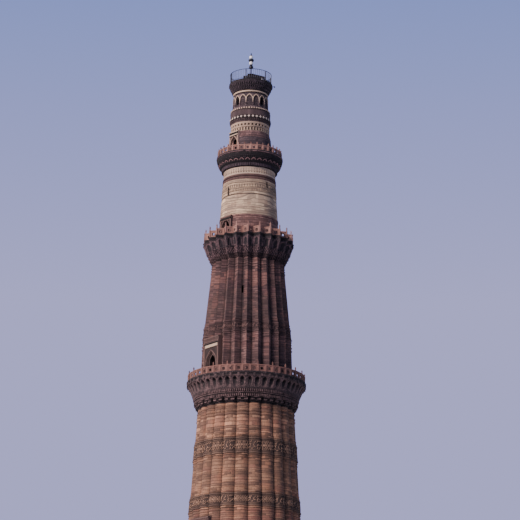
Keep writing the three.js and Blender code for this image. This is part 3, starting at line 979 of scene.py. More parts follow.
def painted_metal(name, base, roughness, metallic=0.6):
    """Weathered paint on metal, with dull patches and fine grit."""
    metal = Finish(name, roughness, metallic)
    where, _ = metal.place()
    blotch = metal.noise(where, 6.0, 4.0, 0.6)
    grit = metal.noise(where, 60.0, 3.0, 0.6)
    worn = metal.between(blotch, 0.5, 0.7)
    colour = metal.mix(worn * 0.45, base, shaded(base, 1.6, (1.1, 1.0, 0.9)))
    rough = roughness + 0.25 * worn
    return metal.finish(colour, grit, real(0.004), rough)


def looks():
    """Each material by name: what makes it, its colour and the maker's other values."""
    stones = bpy.context.scene.minaret_stone
    course = stones.course_height

    def tone(name, factor=1.0, tint=PLAIN):
        return shaded(getattr(stones, name), factor, tint)

    fluted = {"columns": FLUTES * 2, "streaks": 0.35, "blush": 0.5}
    upper_zones = (
        (35.3, 38.1, 0.85, (1.0, 1.0, 0.95), 0.6), (29, 34, 0.72, (1.0, 0.8, 0.95), 0.6),
        (41.72, 45, 0.55, PLAIN, 0.75), (42.42, 45, 0.3, PLAIN, 0.8),
    )
    red_zones = (
        (45, 48.3, 1.2, PLAIN, 0.5), (50, 52.4, 0.5, (0.93, 1.06, 0.98), 0.75),
        (52.4, 53.25, 0.5, (1.0, 0.9, 1.1), 0.65), (53.25, 54.75, 1.7, (1.14, 0.94, 0.8), 0.7),
        (54.75, 57, 0.8, PLAIN, 0.5),
    )
    marble_zones = ((61.42, 62.9, 0.76, PLAIN, 0.9),)
    return {
        "buff sandstone": (ashlar, tone("buff"), {"course": course, "spread": 0.6, **fluted}),
        "upper sandstone": (ashlar, tone("buff"), {
            "course": course, "spread": 0.86, "warm": 0.4, "zones": upper_zones, **fluted}),
        "red sandstone": (ashlar, tone("red"), {
            "course": course * 0.9, "columns": FLUTES * 2, "turn": ANGULAR_TURN, "spread": 0.85,
            "streaks": 0.5, "blush": 0.35, "warm": 0.6, "zones": red_zones}),
        "red drum": (ashlar, tone("red", 1.5, (1.0, 0.96, 0.9)), {
            "course": course, "columns": PANELS, "spread": 0.5, "dirt": 0.4, "streaks": 0.3,
            "warm": 0.2}),
        "grey drum": (ashlar, tone("grey", 1.04), {
            "course": course * 0.8, "columns": PANELS, "spread": 0.7, "dirt": 0.6, "blush": 0.5,
            "warm": 0.3}),
        "rosy drum": (ashlar, tone("red", 1.35), {
            "course": course * 0.8, "columns": PANELS, "spread": 0.6, "streaks": 0.3, "warm": 0.2}),
        "marble ashlar": (ashlar, tone("marble"), {
            "course": course * 0.9, "columns": 20, "spread": 0.55, "dirt": 0.35, "streaks": 0.25,
            "joint": 0.024, "upright": 0.2, "waver": 0.9, "zones": marble_zones}),
        "paving": (ashlar, tone("grey"), {
            "course": 0.6, "columns": 12, "spread": 0.3, "streaks": 0.0, "upright": 1.0}),
        "carved marble": (cut_stone, tone("marble", 0.87, (1.0, 1.04, 1.16)), {
            "spread": 0.15, "dirt": 0.35, "ground": 0.15}),
        "collar marble": (cut_stone, tone("marble", 0.7, (1.0, 1.0, 1.1)), {
            "spread": 0.2, "dirt": 0.6, "ground": 0.03, "ridge": 1.15}),
        "pale portal": (cut_stone, tone("marble", 0.62, (1.0, 0.92, 1.1)), {
            "spread": 0.25, "dirt": 0.5, "ground": 0.1}),
        "white marble": (cut_stone, tone("marble", 1.05, (1.0, 1.15, 1.5)), {
            "spread": 0.1, "dirt": 0.3}),
        "carved band": (cut_stone, tone("band", 1.06, (1.0, 1.03, 0.97)), {
            "ground": 0.34, "ridge": 2.7}),
        "upper band": (cut_stone, tone("red", 0.72), {"ground": 0.3, "ridge": 1.5}),
        "carved frieze": (cut_stone, tone("red", 0.79, (1.0, 0.96, 0.93)), {
            "spread": 0.2, "dirt": 0.5}),
        "string stone": (cut_stone, tone("grey", 0.78, (1.0, 0.93, 0.88)), {
            "dirt": 0.5, "ground": 0.12, "ridge": 1.3}),
        "parapet stone": (cut_stone, tone("pink"), {
            "spread": 0.45, "dirt": 0.5, "ground": 0.12, "ridge": 1.2}),
        "lower parapet stone": (cut_stone, tone("pink", 0.67, (1.0, 0.93, 0.94)), {
            "spread": 0.45, "dirt": 0.5, "ground": 0.12, "ridge": 1.2}),
        "portal sandstone": (cut_stone, tone("red", 0.85, (1.0, 1.05, 1.0)), {
            "spread": 0.25, "dirt": 0.5, "ground": 0.15, "ridge": 1.3}),
        "worn sandstone": (cut_stone, tone("red", 1.5, (1.0, 1.0, 1.1)), {
            "dirt": 0.8, "scale": 4.0, "ground": 0.2, "ridge": 1.1}),
        "stepped sandstone": (cut_stone, tone("red", 0.44, (1.0, 0.97, 1.15)), {
            "dirt": 0.7, "scale": 2.5, "ground": 0.1, "ridge": 1.2}),
        "buff portal": (cut_stone, tone("buff"), {"spread": 0.2}),
        "sooted stone": (sooted, tone("soot"), {"light": tone("soot", 7.4, (1.15, 0.9, 0.7))}),
        "sooted star": (sooted, tone("soot", 2.0), {
            "light": tone("soot", 8.3, (1.2, 0.9, 0.75)), "scale": 1.3, "ground": 0.8, "wear": 0.85}),
        "sooted cap": (sooted, tone("soot", 0.9), {
            "light": tone("soot", 4.4, (1.1, 0.95, 0.95)), "scale": 1.5}),
        "iron": (painted_metal, (0.028, 0.03, 0.045, 1), {"roughness": 0.5}),
        "thin iron": (painted_metal, (0.1, 0.11, 0.16, 1), {"roughness": 0.55, "metallic": 0.2}),
        "lamp paint": (painted_metal, (0.95, 0.95, 1.0, 1), {"roughness": 0.35, "metallic": 0.0}),
    }


def material(name):
    """A material by name, made the first time that it is asked for."""
    if name not in bpy.data.materials:
        maker, base, values = looks()[name]
        maker(name, base, **values)
    return bpy.data.materials[name]


# Property groups


def colour_property(name, description, default):
    """A colour setting."""
    return FloatVectorProperty(
        name=name, description=description, subtype="COLOR", default=default, min=0, max=1,
    )


def length_property(name, description, default, low, high):
    """A length setting, with its lowest and highest value."""
    return FloatProperty(
        name=name, description=description, default=default, min=low, max=high,
        subtype="DISTANCE", unit="LENGTH",
    )


class StoneSettings(bpy.types.PropertyGroup):
    """Colours and sizes of the stonework."""

    buff: colour_property("Buff Sandstone", "Walls of the two lower storeys", (0.307, 0.166, 0.108))
    red: colour_property(
        "Red Sandstone", "Walls of the third storey and the drums' courses", (0.15, 0.083, 0.081),
    )
    marble: colour_property("Marble", "Drums of the fourth and fifth storeys", (0.645, 0.463, 0.32))
    soot: colour_property("Sooted Stone", "Corbels, decks and cap", (0.016, 0.0125, 0.0165))
    pink: colour_property("Parapet Stone", "Pierced panels and posts", (0.32, 0.17, 0.142))
    band: colour_property("Band Stone", "Carved bands of the lower storeys", (0.132, 0.077, 0.06))
    grey: colour_property("Grey Stone", "Plinth and the fifth storey's wall", (0.108, 0.073, 0.083))
    course_height: length_property(
        "Course Height", "Height of a course on the full-size tower", 0.24, 0.1, 2,
    )
    joint_width: length_property("Joint Width", "Width added to the joints between blocks", 0.01, 0, 0.2)
    # How dark the painted shade in the grooves between flutes is
    groove_dirt: FloatProperty(
        name="Groove Painted Shade", description="How dark the grooves between flutes are",
        default=0.75, min=0, max=1, subtype="FACTOR",
    )


class CarvingSettings(bpy.types.PropertyGroup):
    """Sizes of the carved work, in metres of the full-size tower."""

    niche_depth: length_property(
        "Niche Depth", "Depth of the tall niches under a balcony", 0.26, 0.02, 0.5,
    )
    ornament_relief: length_property(
        "Ornament Relief", "How far the bands' ornament stands out of its ground", 0.045, 0.005, 0.1,
    )
    post_rise: length_property(
        "Post Rise", "How far the parapets' posts stand above the panels", 0.33, 0.05, 1,
    )
    post_width: length_property("Post Width", "Width of a parapet post", 0.1, 0.03, 0.3)


class IronSettings(bpy.types.PropertyGroup):
    """Sizes of the railing on the cap, in metres of the full-size tower."""

    bar_count: IntProperty(
        name="Bars", description="Thin bars round the railing", default=64, min=6, max=400,
    )
    bar_width: length_property("Bar Width", "Width of a thin bar", 0.02, 0.005, 0.05)
    post_width: length_property("Railing Post Width", "Width of the railing's posts", 0.07, 0.02, 0.2)


class StageSettings(bpy.types.PropertyGroup):
    """The studio: backdrop, floor, lights and camera."""

    backdrop: colour_property(
        "Backdrop", "Plain colour behind the model, low down", (0.462, 0.458, 0.82),
    )
    backdrop_top: colour_property(
        "Backdrop Top", "Plain colour behind the model, high up", (0.258, 0.322, 0.74),
    )
    soft_light: colour_property(
        "Soft Light", "Colour of the light that comes from all round", (0.188, 0.226, 0.37),
    )
    floor: colour_property("Floor", "Colour of the floor", (0.62, 0.61, 0.62))
    floor_radius: length_property("Floor Radius", "Radius of the round floor", 70, 5, 500)
    key_strength: FloatProperty(
        name="Key Light", description="Strength of the warm light from the camera's left",
        default=3.75, min=0, max=50,
    )
    key_softness: FloatProperty(
        name="Softness", description="Angle that the key light spreads over",
        default=math.radians(20), min=0, max=math.pi, subtype="ANGLE",
    )
    lens: FloatProperty(
        name="Lens", description="Focal length of the camera", default=154.7, min=10, max=500,
        subtype="DISTANCE_CAMERA", unit="CAMERA",
    )


# Operators


class MINARET_OT_stage(bpy.types.Operator):
    """Make the camera, the lights, the backdrop and the floor"""

    bl_idname = "minaret.stage"
    bl_label = "Stage and Camera"

    direction = 49.0  # the camera stands in this direction from the axis
    distance = 185.0
    eye_height = 1.6
    pitch = 16.41
    aside = 0.315  # the camera looks this far to the right of the axis
    roll = 0.765
    haze = (15.3, 23)  # the backdrop changes colour between these heights, in degrees
    side_share, side_softness = 0.5, 50  # the side light's strength beside the key light's

    def execute(self, context):
        stage = context.scene.minaret_stage
        self.make_camera(context, stage)
        self.make_lights(context, stage)
        self.make_floor(context, stage)
        return {"FINISHED"}

    def make_camera(self, context, stage):
        """The camera, at eye height and a little off upright."""
        lens = bpy.data.cameras.new("camera")
        lens.lens = stage.lens
        lens.sensor_width = 36
        lens.clip_start = 1
        lens.clip_end = 1000
        camera = bpy.data.objects.new("camera", lens)
        context.scene.collection.objects.link(camera)
        across, along = polar(self.direction, real(self.distance))
        turn = Matrix.Rotation(math.radians(self.direction - self.aside), 4, "Z")
        tilt = Matrix.Rotation(math.radians(90 + self.pitch), 4, "X")
        roll = Matrix.Rotation(math.radians(self.roll), 4, "Z")
        place = Matrix.Translation((across, along, real(self.eye_height)))
        camera.matrix_world = place @ turn @ tilt @ roll
        context.scene.camera = camera

    def make_lights(self, context, stage):
        """A warm key light and a softer side light, both from the camera's left."""
        side_strength = stage.key_strength * self.side_share
        for name, aside, elevation, strength, softness, colour in (
            ("key", 42, 24, stage.key_strength, stage.key_softness, (1.0, 0.85, 0.79)),
            ("side", 86, 18, side_strength, math.radians(self.side_softness), (1.0, 0.8, 0.68)),
        ):
            lamp = bpy.data.lights.new(name, "SUN")
            lamp.energy = strength
            lamp.angle = softness
            lamp.color = colour
            light = bpy.data.objects.new(name, lamp)
            context.scene.collection.objects.link(light)
            turn = Matrix.Rotation(math.radians(self.direction - aside), 4, "Z")
            light.matrix_world = turn @ Matrix.Rotation(math.radians(90 - elevation), 4, "X")
        context.scene.world = self.make_world(stage)

    def make_world(self, stage):
        """A backdrop that shows, and a dimmer light of one colour that shines from all round."""
        world = bpy.data.worlds.new("backdrop")
        world.use_nodes = True
        tree = world.node_tree
        where = tree.nodes.new("ShaderNodeTexCoord")
        parts = tree.nodes.new("ShaderNodeSeparateXYZ")
        tree.links.new(where.outputs["Generated"], parts.inputs[0])
        height = tree.nodes.new("ShaderNodeMapRange")
        for name, angle in zip(("From Min", "From Max"), self.haze):
            height.inputs[name].default_value = math.sin(math.radians(angle))
        tree.links.new(parts.outputs["Z"], height.inputs["Value"])
        shown, soft = (tree.nodes.new("ShaderNodeMix") for _ in range(2))
        for mix, socket, colour in (
            (shown, 6, stage.backdrop), (shown, 7, stage.backdrop_top), (soft, 6, stage.soft_light),
        ):
            mix.data_type = "RGBA"
            mix.inputs[socket].default_value = (*colour, 1)
        tree.links.new(height.outputs[0], shown.inputs[0])
        path = tree.nodes.new("ShaderNodeLightPath")
        tree.links.new(path.outputs["Is Camera Ray"], soft.inputs[0])
        tree.links.new(shown.outputs[2], soft.inputs[7])
        tree.links.new(soft.outputs[2], tree.nodes["Background"].inputs["Color"])
        return world

    def make_floor(self, context, stage):
        """A round floor of one colour with faint clouds."""
        shape = bmesh.new()
        bmesh.ops.create_circle(shape, cap_ends=True, segments=128, radius=stage.floor_radius)
        mesh = bpy.data.meshes.new("studio_floor")
        shape.to_mesh(mesh)
        shape.free()
        floor = bpy.data.objects.new("studio_floor", mesh)
        context.scene.collection.objects.link(floor)
        surface = Finish("studio floor", 0.8)
        where, _ = surface.place()
        cloud = surface.noise(where, 0.2, 2.0, 0.5)
        pale = (*stage.floor, 1)
        mesh.materials.append(surface.finish(surface.mix(cloud * 0.1, pale, shaded(pale, 0.9))))


class MINARET_OT_plinth(bpy.types.Operator):
    """Build the stepped plinth from coping blocks and paving"""

    bl_idname = "minaret.plinth"
    bl_label = "Plinth"

    steps = ((8.25, 0.0, 0.3), (7.8, 0.3, 0.61))  # half a side, bottom and top of each step
    blocks = 11  # along each side of a step
    block_depth = 1.0
    gap = 0.012  # between two blocks
    chamfer = 0.02
    core = (7.3, 0.01, 0.6)  # half a side, bottom and top of the paving inside the blocks

    def execute(self, context):
        piece = Piece("paving")
        for number, (half, bottom, top) in enumerate(self.steps):
            piece.ring(self.coping(half, bottom, top, number), 4)
        half, bottom, top = self.core
        inside = Masonry()
        add_square_post(inside, ((bottom, half), (top, half)), 0)
        piece.add(inside)
        piece.finish("plinth_steps", "grey_stone", "plinth", crease=25)
        return {"FINISHED"}

    def coping(self, half, bottom, top, number):
        """The blocks along one side, from one corner to the next side's block."""
        work = Masonry()
        length = (2 * half - self.block_depth) / self.blocks
        for block_number in range(self.blocks):
            left = -half + block_number * length + self.gap / 2
            right = left + length - self.gap
            face = half - 0.004 * ((block_number * 7 + number * 3) % 4)
            outline = ((left, bottom), (right, bottom), (right, top), (left, top))
            rows = []
            for along, inset in (
                (face - self.block_depth, 0), (face - self.chamfer, 0), (face, self.chamfer),
            ):
                row = []
                for across, rise in outline:
                    pull = inset if across == left else -inset
                    lift = inset if rise == bottom else -inset
                    row.append(work.add((across + pull, -along, rise + lift), 0.9 if inset else 0.6))
                rows.append(row)
            work.prism(*rows)
        return work


class MINARET_OT_shafts(bpy.types.Operator):
    """Build the fluted walls of the three lower storeys"""

    bl_idname = "minaret.shafts"
    bl_label = "Fluted Shafts"

    # (shift, how proud) of a roll round the wall, and of the mouldings outside a carved band's edge
    roll = ((-0.09, 0), (-0.06, 0.05), (0.05, 0.055), (0.08, 0))
    border = ((0.42, 0), (0.39, 0.035), (0.31, 0.035), (0.28, 0), (0.2, 0), (0.17, 0.05),
              (0.06, 0.05), (0.03, 0.0))

    def execute(self, context):
        rolls = {1: (0.9, 26.3), 2: (29.8, 41.7, 41.95, 42.35), 3: (47.95, 48.22, 54.75, 54.98, 55.2, 55.38)}
        for number, storey, plan, look, slot, bands, slits in (
            (1, STOREY_1, MIXED, "buff sandstone", "sandstone", BANDS_1, ()),
            (2, STOREY_2, ROUND, "upper sandstone", "sandstone", BANDS_2, ()),
            (3, STOREY_3, ANGULAR, "red sandstone", "red_sandstone", BANDS_3, SLITS_3),
        ):
            piece = Piece(look)
            piece.wall(plan, self.levels(storey["profile"], rolls[number], bands), storey["bore"])
            piece.carve(door_cutters(DOORS[number]) + [slit_cutter(slit) for slit in slits])
            walls = [f"storey_{number}_wall"]
            if number == 3:
                walls = ["storey_3_lower_wall", "storey_3_upper_wall"]
            piece.finish(f"storey_{number}_shaft", slot, *walls, crease=28)
        return {"FINISHED"}

    def levels(self, profile, rolls, bands):
        """The wall's levels, with its rolls and the mouldings beside its carved bands."""
        bottom, top = profile[0][0], profile[-1][0]
        marks = {height: 0.0 for height, _ in profile}
        for height in rolls:
            for shift, proud in self.roll:
                marks[height + shift] = proud
        for low, high in bands:
            for edge, outward in ((low, -1), (high, 1)):
                for shift, proud in self.border:
                    marks[edge + outward * shift] = proud
        heights = sorted(height for height in marks if bottom <= height <= top)
        return [(height, radius_at(profile, height), marks[height], 0.9) for height in heights]


def door_cutters(door):
    """The seat of a portal and the doorway behind it."""
    width, height, _, back = door["portal"]
    angle, floor = door["angle"], door["floor"]
    seat = flat_block(angle, width + 2 * SEAM, back - SEAM, FAR, floor - CUT, floor + height + SEAM)
    passage = arch_block(angle, door["width"], door["height"] + CUT, floor - CUT, 0, FAR)
    return [seat, passage]


def slit_cutter(slit):
    """A slit window right through a wall."""
    angle, bottom, top = slit
    return flat_block(angle, SLIT_WIDTH, 0, FAR, bottom, top)


class MINARET_OT_bands(bpy.types.Operator):
    """Carve the bands that follow the flutes, with raised ornament"""

    bl_idname = "minaret.bands"
    bl_label = "Carved Bands"

    # (distance from the band's edge, how proud, relief) of its border, from the edge inwards
    border = (
        (0, 0.0, 0.1), (0, 0.09, 0.6), (0.05, 0.1, 0.75), (0.12, 0.09, 0.6), (0.13, 0.03, 0.1),
        (0.17, 0.03, 0.1), (0.18, 0.07, 0.7), (0.24, 0.07, 0.7), (0.25, 0.03, 0.2),
    )
    margin = 0.28  # from the band's edge to its ornament
    hidden = 0.2  # how deep the band reaches into the wall

    def execute(self, context):
        for number, plan, storey, bands in (
            (1, MIXED, STOREY_1, BANDS_1), (2, ROUND, STOREY_2, BANDS_2), (3, ANGULAR, STOREY_3, BANDS_3),
        ):
            profile = storey["profile"]
            for place, (bottom, top) in enumerate(bands, 1):
                piece = Piece("upper band" if number == 3 else "carved band")
                inner = [
                    (height, radius_at(profile, height) * GROOVE_ANGULAR - self.hidden)
                    for height in (top, bottom)
                ]
                cell = wall_cell(plan, self.levels(profile, bottom, top), inner)
                piece.ring(cell, plan.cells, plan.turn)
                self.ornament(piece, plan, profile, bottom + self.margin, top - self.margin)
                name = f"storey_{number}_carved_band_{place}"
                piece.finish(name, "carved_band", f"storey_{number}_band_{place}", wear=0.015, crease=35)
        return {"FINISHED"}

    def levels(self, profile, bottom, top):
        """The band's levels: a border, the sunk ground and the same border upside down."""
        lower = [(bottom + shift, proud, relief) for shift, proud, relief in self.border]
        upper = [(top - shift, proud, relief) for shift, proud, relief in reversed(self.border)]
        return [
            (height, radius_at(profile, height), proud, relief) for height, proud, relief in lower + upper
        ]

    def ornament(self, piece, plan, profile, bottom, top):
        """Adds raised ornament: curling stems on one flute, a lattice with stars on the next."""
        relief = bpy.context.scene.minaret_carving.ornament_relief
        height = top - bottom
        width = radius_at(profile, (bottom + top) / 2) * math.radians(FLUTE_ANGLE)
        flutes_in_cell = FLUTES // plan.cells
        cells_in_repeat = 2 // flutes_in_cell
        for motif in range(cells_in_repeat):
            work = Masonry()
            for flute in range(flutes_in_cell):

                def place(across, rise, proud, flute=flute):
                    level = bottom + rise
                    share = min(0.49, max(-0.49, across / width)) + flute
                    return on_plan(plan, share, radius_at(profile, level), level, 0.03, -proud)

                paths = (leafy_scrolls, star_lattice)[(motif + flute) % 2](width * 0.9, height)
                for path, thickness in paths:
                    add_stroke(work, place, path, thickness, (-0.02, relief))
            turn = plan.turn + motif * 360 / plan.cells
            piece.ring(work, plan.cells // cells_in_repeat, turn)


def leafy_scrolls(width, height):
    """Paths of curling stems over the whole of a flute's face, always the same ones."""
    chance = random.Random(7)
    columns, rows = 6, 3
    paths = []
    for column in range(columns):
        for row in range(rows):
            reach = chance.uniform(0.06, 0.1)
            across = width * ((column + 0.5) / columns - 0.5) + chance.uniform(-0.02, 0.02)
            middle = height * (row + 0.5) / rows + chance.uniform(-0.03, 0.03)
            start, sweep = chance.uniform(0, 2 * math.pi), chance.uniform(1.8, 3.8)
            path = []
            for step in range(5):
                turn = start + sweep * step / 4
                rise = min(height - 0.03, max(0.03, middle + 1.3 * reach * math.sin(turn)))
                path.append((across + reach * math.cos(turn), rise))
            paths.append((path, 0.036))
    return paths


def star_lattice(width, height):
    """Paths of a zigzag lattice round small rayed stars."""
    paths = []
    cells = 3
    pitch = width / cells
    half_height = height / 2
    for number in range(cells):
        middle = -width / 2 + (number + 0.5) * pitch
        for ray in range(4):
            turn = math.pi * ray / 4
            reach = min(pitch, height) * 0.36
            run, climb = reach * math.cos(turn), reach * math.sin(turn)
            ends = [(middle - run, half_height - climb), (middle + run, half_height + climb)]
            paths.append((ends, 0.032))
        left, right = middle - pitch / 2, middle + pitch / 2
        for edge in (0.04 * height, 0.96 * height):
            paths.append(([(left, half_height), (middle, edge), (right, half_height)], 0.034))
        for corner in (left + pitch * 0.12, right - pitch * 0.12):
            for low in (0.04, 0.72):
                paths.append(([(corner, low * height), (corner, (low + 0.24) * height)], 0.034))
    return paths


class MINARET_OT_portals(bpy.types.Operator):
    """Build the stepped frames round the five doors"""

    bl_idname = "minaret.portals"
    bl_label = "Door Portals"

    finishes = {
        1: ("buff portal", "sandstone"), 2: ("portal sandstone", "sandstone"),
        3: ("portal sandstone", "red_sandstone"), 4: ("portal sandstone", "red_sandstone"),
        5: ("pale portal", "marble"),
    }
    # Level strips on the portals' faces as (storey, left, right, low, high)
    # The dark strips are painted shadow under the portals' cornices and ledges, and the pale ones are cream
    # stone
    dark_gaps = ((3, -1.0, 1.0, 2.95, 3.08), (4, -0.68, 0.68, 1.7, 1.84), (5, -0.555, 0.555, 1.93, 2.12),
                 (5, -0.555, 0.555, 1.78, 1.82))
    pale_strips = ((3, -0.78, 0.95, 2.7, 2.93), (5, -0.57, 0.57, 2.12, 2.19), (5, -0.55, 0.55, 1.83, 1.92))

    def execute(self, context):
        for number in DOORS:
            self.portal(number)
        for name, look, slot, strips, proud, relief in (
            ("portal_dark_gaps", "sooted cap", "dark_stone", self.dark_gaps, 0.07, 0.0),
            ("portal_pale_strips", "carved marble", "marble", self.pale_strips, 0.09, 1.0),
        ):
            work = Masonry()
            for number, left, right, low, high in strips:
                add_block(work, self.on_face(number), (left, right), (low, high), (0, proud), relief)
            piece = Piece(look)
            piece.add(work)
            piece.finish(name, slot)
        return {"FINISHED"}

    def portal(self, number):
        """One portal: a block with a doorway, three steps round its arch, and trim on its face."""
        door = DOORS[number]
        width, height, front, back = door["portal"]
        angle, floor = door["angle"], door["floor"]
        look, slot = self.finishes[number]
        room = self.room(door)
        piece = Piece(look)
        piece.add(flat_block(angle, width, back, front - 0.04, floor, floor + height))
        cutters = [arch_block(angle, door["width"], door["height"] + CUT, floor - CUT, 0, FAR)]
        for step in range(1, 4):
            grown = door["width"] + room * (0.1 + 0.16 * step)
            raised = door["height"] + room * (0.05 + 0.08 * step)
            depth = 0.26 - 0.07 * step
            cutters.append(arch_block(angle, grown, raised + CUT, floor - CUT, front - depth, FAR))
        piece.carve(cutters)
        piece.add(self.trim(number))
        piece.finish(f"storey_{number}_door_frame", slot, f"storey_{number}_portal")

    def room(self, door):
        """How far the steps of a portal's arch may spread."""
        width, height = door["portal"][:2]
        return min(width - door["width"], (height - door["height"]) * 1.4)

    def on_face(self, number):
        """Maps (across, rise, proud) in metres to a point on a portal's face."""
        door = DOORS[number]
        angle, floor, front = door["angle"], door["floor"], door["portal"][2]

        def place(across, rise, proud):
            out = polar(angle, front - 0.05 + proud)
            side = polar(angle + 90, across)
            return (out[0] + side[0], out[1] + side[1], floor + rise)

        return place

    def trim(self, number):
        """A raised border, a row of small teeth, a cornice and a moulding round the arch."""
        door = DOORS[number]
        width, height = door["portal"][:2]
        work = Masonry()
        place = self.on_face(number)
        edge = width / 2 - 0.07
        for side in (-edge, edge):
            add_stroke(work, place, [(side, 0.01), (side, height - 0.37)], 0.12, (0, 0.05))
        cornice = width / 2 - 0.005
        add_block(work, place, (-cornice, cornice), (height - 0.12, height - 0.005), (-0.1, 0.05))
        add_block(work, place, (-edge, edge), (height - 0.4, height - 0.33), (0, 0.04))
        teeth = max(7, round(width / 0.16))
        for tooth in range(teeth):
            left, right = (-edge + 2 * edge * (tooth + share) / teeth for share in (0.2, 0.8))
            add_block(work, place, (left, right), (height - 0.28, height - 0.16), (0, 0.04))
        room = self.room(door)
        outline = arch_outline(door["width"] + room * 0.66, door["height"] + room * 0.33)
        add_stroke(work, place, outline, 0.06, (0, 0.045))
        return work


class MINARET_OT_corbels(bpy.types.Operator):
    """Build the tiers of niches and brackets that carry the four balconies"""

    bl_idname = "minaret.corbels"
    bl_label = "Balcony Corbels"

    # Rings between the lower corbels' rows, round or scalloped as the flutes: each is its bottom
    # and top as shares of the height, how far these stand out of the outline, and its relief
    round_tiers = (
        (0.97, 1.0, 0.03, 0.0, 0.8), (0.5, 0.55, 0.0, 0.0, 0.7), (0.405, 0.505, -0.06, -0.06, 0.3),
        (0.36, 0.39, 0.03, 0.03, 0.9), (0.33, 0.36, -0.03, -0.03, 0.3), (0.22, 0.335, -0.07, -0.07, 0.3),
    )
    scalloped_tiers = (
        (0.185, 0.215, 0.02, 0.03, 1.0), (0.15, 0.185, -0.06, -0.06, 0.0), (0.09, 0.155, -0.06, -0.06, 0.0),
        (0.065, 0.09, 0.0, 0.02, 0.7), (0.03, 0.065, -0.06, -0.06, 0.0), (0.0, 0.03, -0.02, 0.0, 0.5),
    )
    # Heights of the third balcony's corbels: stepped mouldings, lattice of teeth, niches, top
    steps_foot, lattice_foot, lattice_top = 55.5, 55.84, 56.37
    niches_foot, niches_top, star_top = 56.42, 57.12, 57.19
    facet_tooth_count = 3

    def execute(self, context):
        for number in (1, 2):
            self.lower(number)
        self.star_niches()
        self.star_steps()
        self.flared()
        return {"FINISHED"}

    def lower(self, number):
        """Tall pockets over two rows of teeth and a row of blocks, all following a round deck."""
        balcony = BALCONIES[number]
        profile, wall, rim = balcony["corbels"], balcony["wall"], balcony["rim"]
        foot, under = profile[0][0], profile[-1][0]
        depth = bpy.context.scene.minaret_carving.niche_depth * (rim / BALCONIES[2]["rim"])

        def height(share):
            return foot + (under - foot) * share

        def radius(share):
            return radius_at(profile, height(share))

        piece = Piece("sooted stone")
        piece.niches(
            PANELS, (height(0.545), height(0.975)), (radius(0.545), radius(0.97)), wall, depth,
            0.37, 0.66, 0.27, POCKET,
        )
        block_turn = 180 / PANELS
        piece.teeth(168, (height(0.41), height(0.5)), radius(0.455), 0.035)
        piece.teeth(168, (height(0.225), height(0.32)), radius(0.27), 0.04)
        piece.teeth(
            PANELS, (height(0.095), height(0.15)), radius(0.12) - 0.03, 0.05, 0.9, 0.27, block_turn,
        )
        piece.teeth(
            PANELS, (under - 0.12, balcony["floor"] - 0.09), rim - 0.05, 0.035, 0.8, 0.14, block_turn,
        )
        flutes = MIXED if number == 1 else ROUND
        for plan, tiers in ((SMOOTH, self.round_tiers), (flutes, self.scalloped_tiers)):
            for low, high, start, end, relief in tiers:
                outer = min(radius(high) + end, radius(1))
                section = (
                    (height(low), radius(low) + start), (height(high), outer), (height(high), wall),
                    (height(low), wall),
                )
                piece.lathe(section, relief, plan)
        name = f"balcony_{number}_niche_corbels"
        piece.finish(name, "dark_stone", f"balcony_{number}_corbels", wear=0.03)

    def star_niches(self):
        """The third balcony's shallow niches on each face of its pointed plan, over a fine lattice."""
        profile, wall = BALCONIES[3]["corbels"], BALCONIES[3]["wall"]
        piece = Piece("sooted star")
        heights = (self.niches_foot, self.niches_top)
        radii = (radius_at(profile, heights[0]) - 0.03, radius_at(profile, heights[1]) - 0.02)
        for middle in (-0.25, 0.25):
            piece.ring(self.facet_niche(middle, heights, radii, wall), FLUTES, STAR.turn)
            piece.ring(self.bracket(middle, heights, radii), FLUTES, STAR.turn)
        for low, high in ((self.lattice_top, self.niches_foot), (self.niches_top, self.star_top)):
            levels = [(low, radius_at(profile, low) + 0.01, 0, 0.8), (high, radius_at(profile, high), 0, 0.8)]
            piece.wall(STAR, levels, wall)
        levels = [
            (height, radius_at(profile, height) - 0.08, 0, 0.1)
            for height in (self.lattice_foot, self.lattice_top)
        ]
        piece.wall(STAR, levels, wall)
        for row in range(4):
            low = self.lattice_foot + 0.03 + 0.125 * row
            self.add_facet_teeth(piece, low, low + 0.09, 0.2 * (-1) ** row)
        piece.finish("balcony_3_niche_corbels", "dark_stone", "balcony_3_corbels", wear=0.05)

    def star_steps(self):
        """The third balcony's two stepped mouldings with teeth under them."""
        profile, wall = BALCONIES[3]["corbels"], BALCONIES[3]["wall"]
        piece = Piece("stepped sandstone")
        steps = 2
        rise = (self.lattice_foot - self.steps_foot) / steps
        for step in range(steps):
            low = self.steps_foot + step * rise
            out = radius_at(profile, low + rise)
            levels = [(low, out - 0.12, 0, 0.0), (low + rise * 0.7, out - 0.08, 0, 0.0),
                      (low + rise * 0.72, out, 0, 0.9), (low + rise, out, 0, 0.8)]
            piece.wall(STAR, levels, wall)
            self.add_facet_teeth(piece, low + rise * 0.1, low + rise * 0.6, 0.2)
        piece.finish("balcony_3_stepped_mouldings", "red_sandstone", wear=0.05)

    def add_facet_teeth(self, piece, low, high, shift):
        """Adds a row of small teeth on both faces of each point of the third balcony's plan."""
        profile = BALCONIES[3]["corbels"]
        work = Masonry()

        def place(share, rise, proud):
            level = low + (high - low) * rise
            return on_plan(STAR, share, radius_at(profile, level) - 0.03, level, 0, -proud)

        count = self.facet_tooth_count
        half = 0.14 / count
        for side in (-1, 1):
            for number in range(count):
                middle = side * 0.5 * (number + 0.5 + shift) / count
                add_block(work, place, (middle - half, middle + half), (0, 1), (-0.1, 0.03), 1.0)
        piece.ring(work, FLUTES, STAR.turn)

    def facet_niche(self, middle, heights, radii, wall):
        """A niche on half of a flute's width, which is centred on a share of that width."""
        bottom, top = heights

        def place(share, rise, sunk):
            radius = radii[0] + (radii[1] - radii[0]) * rise
            return on_plan(STAR, middle + share * 0.5, radius, bottom + (top - bottom) * rise, 0, sunk)

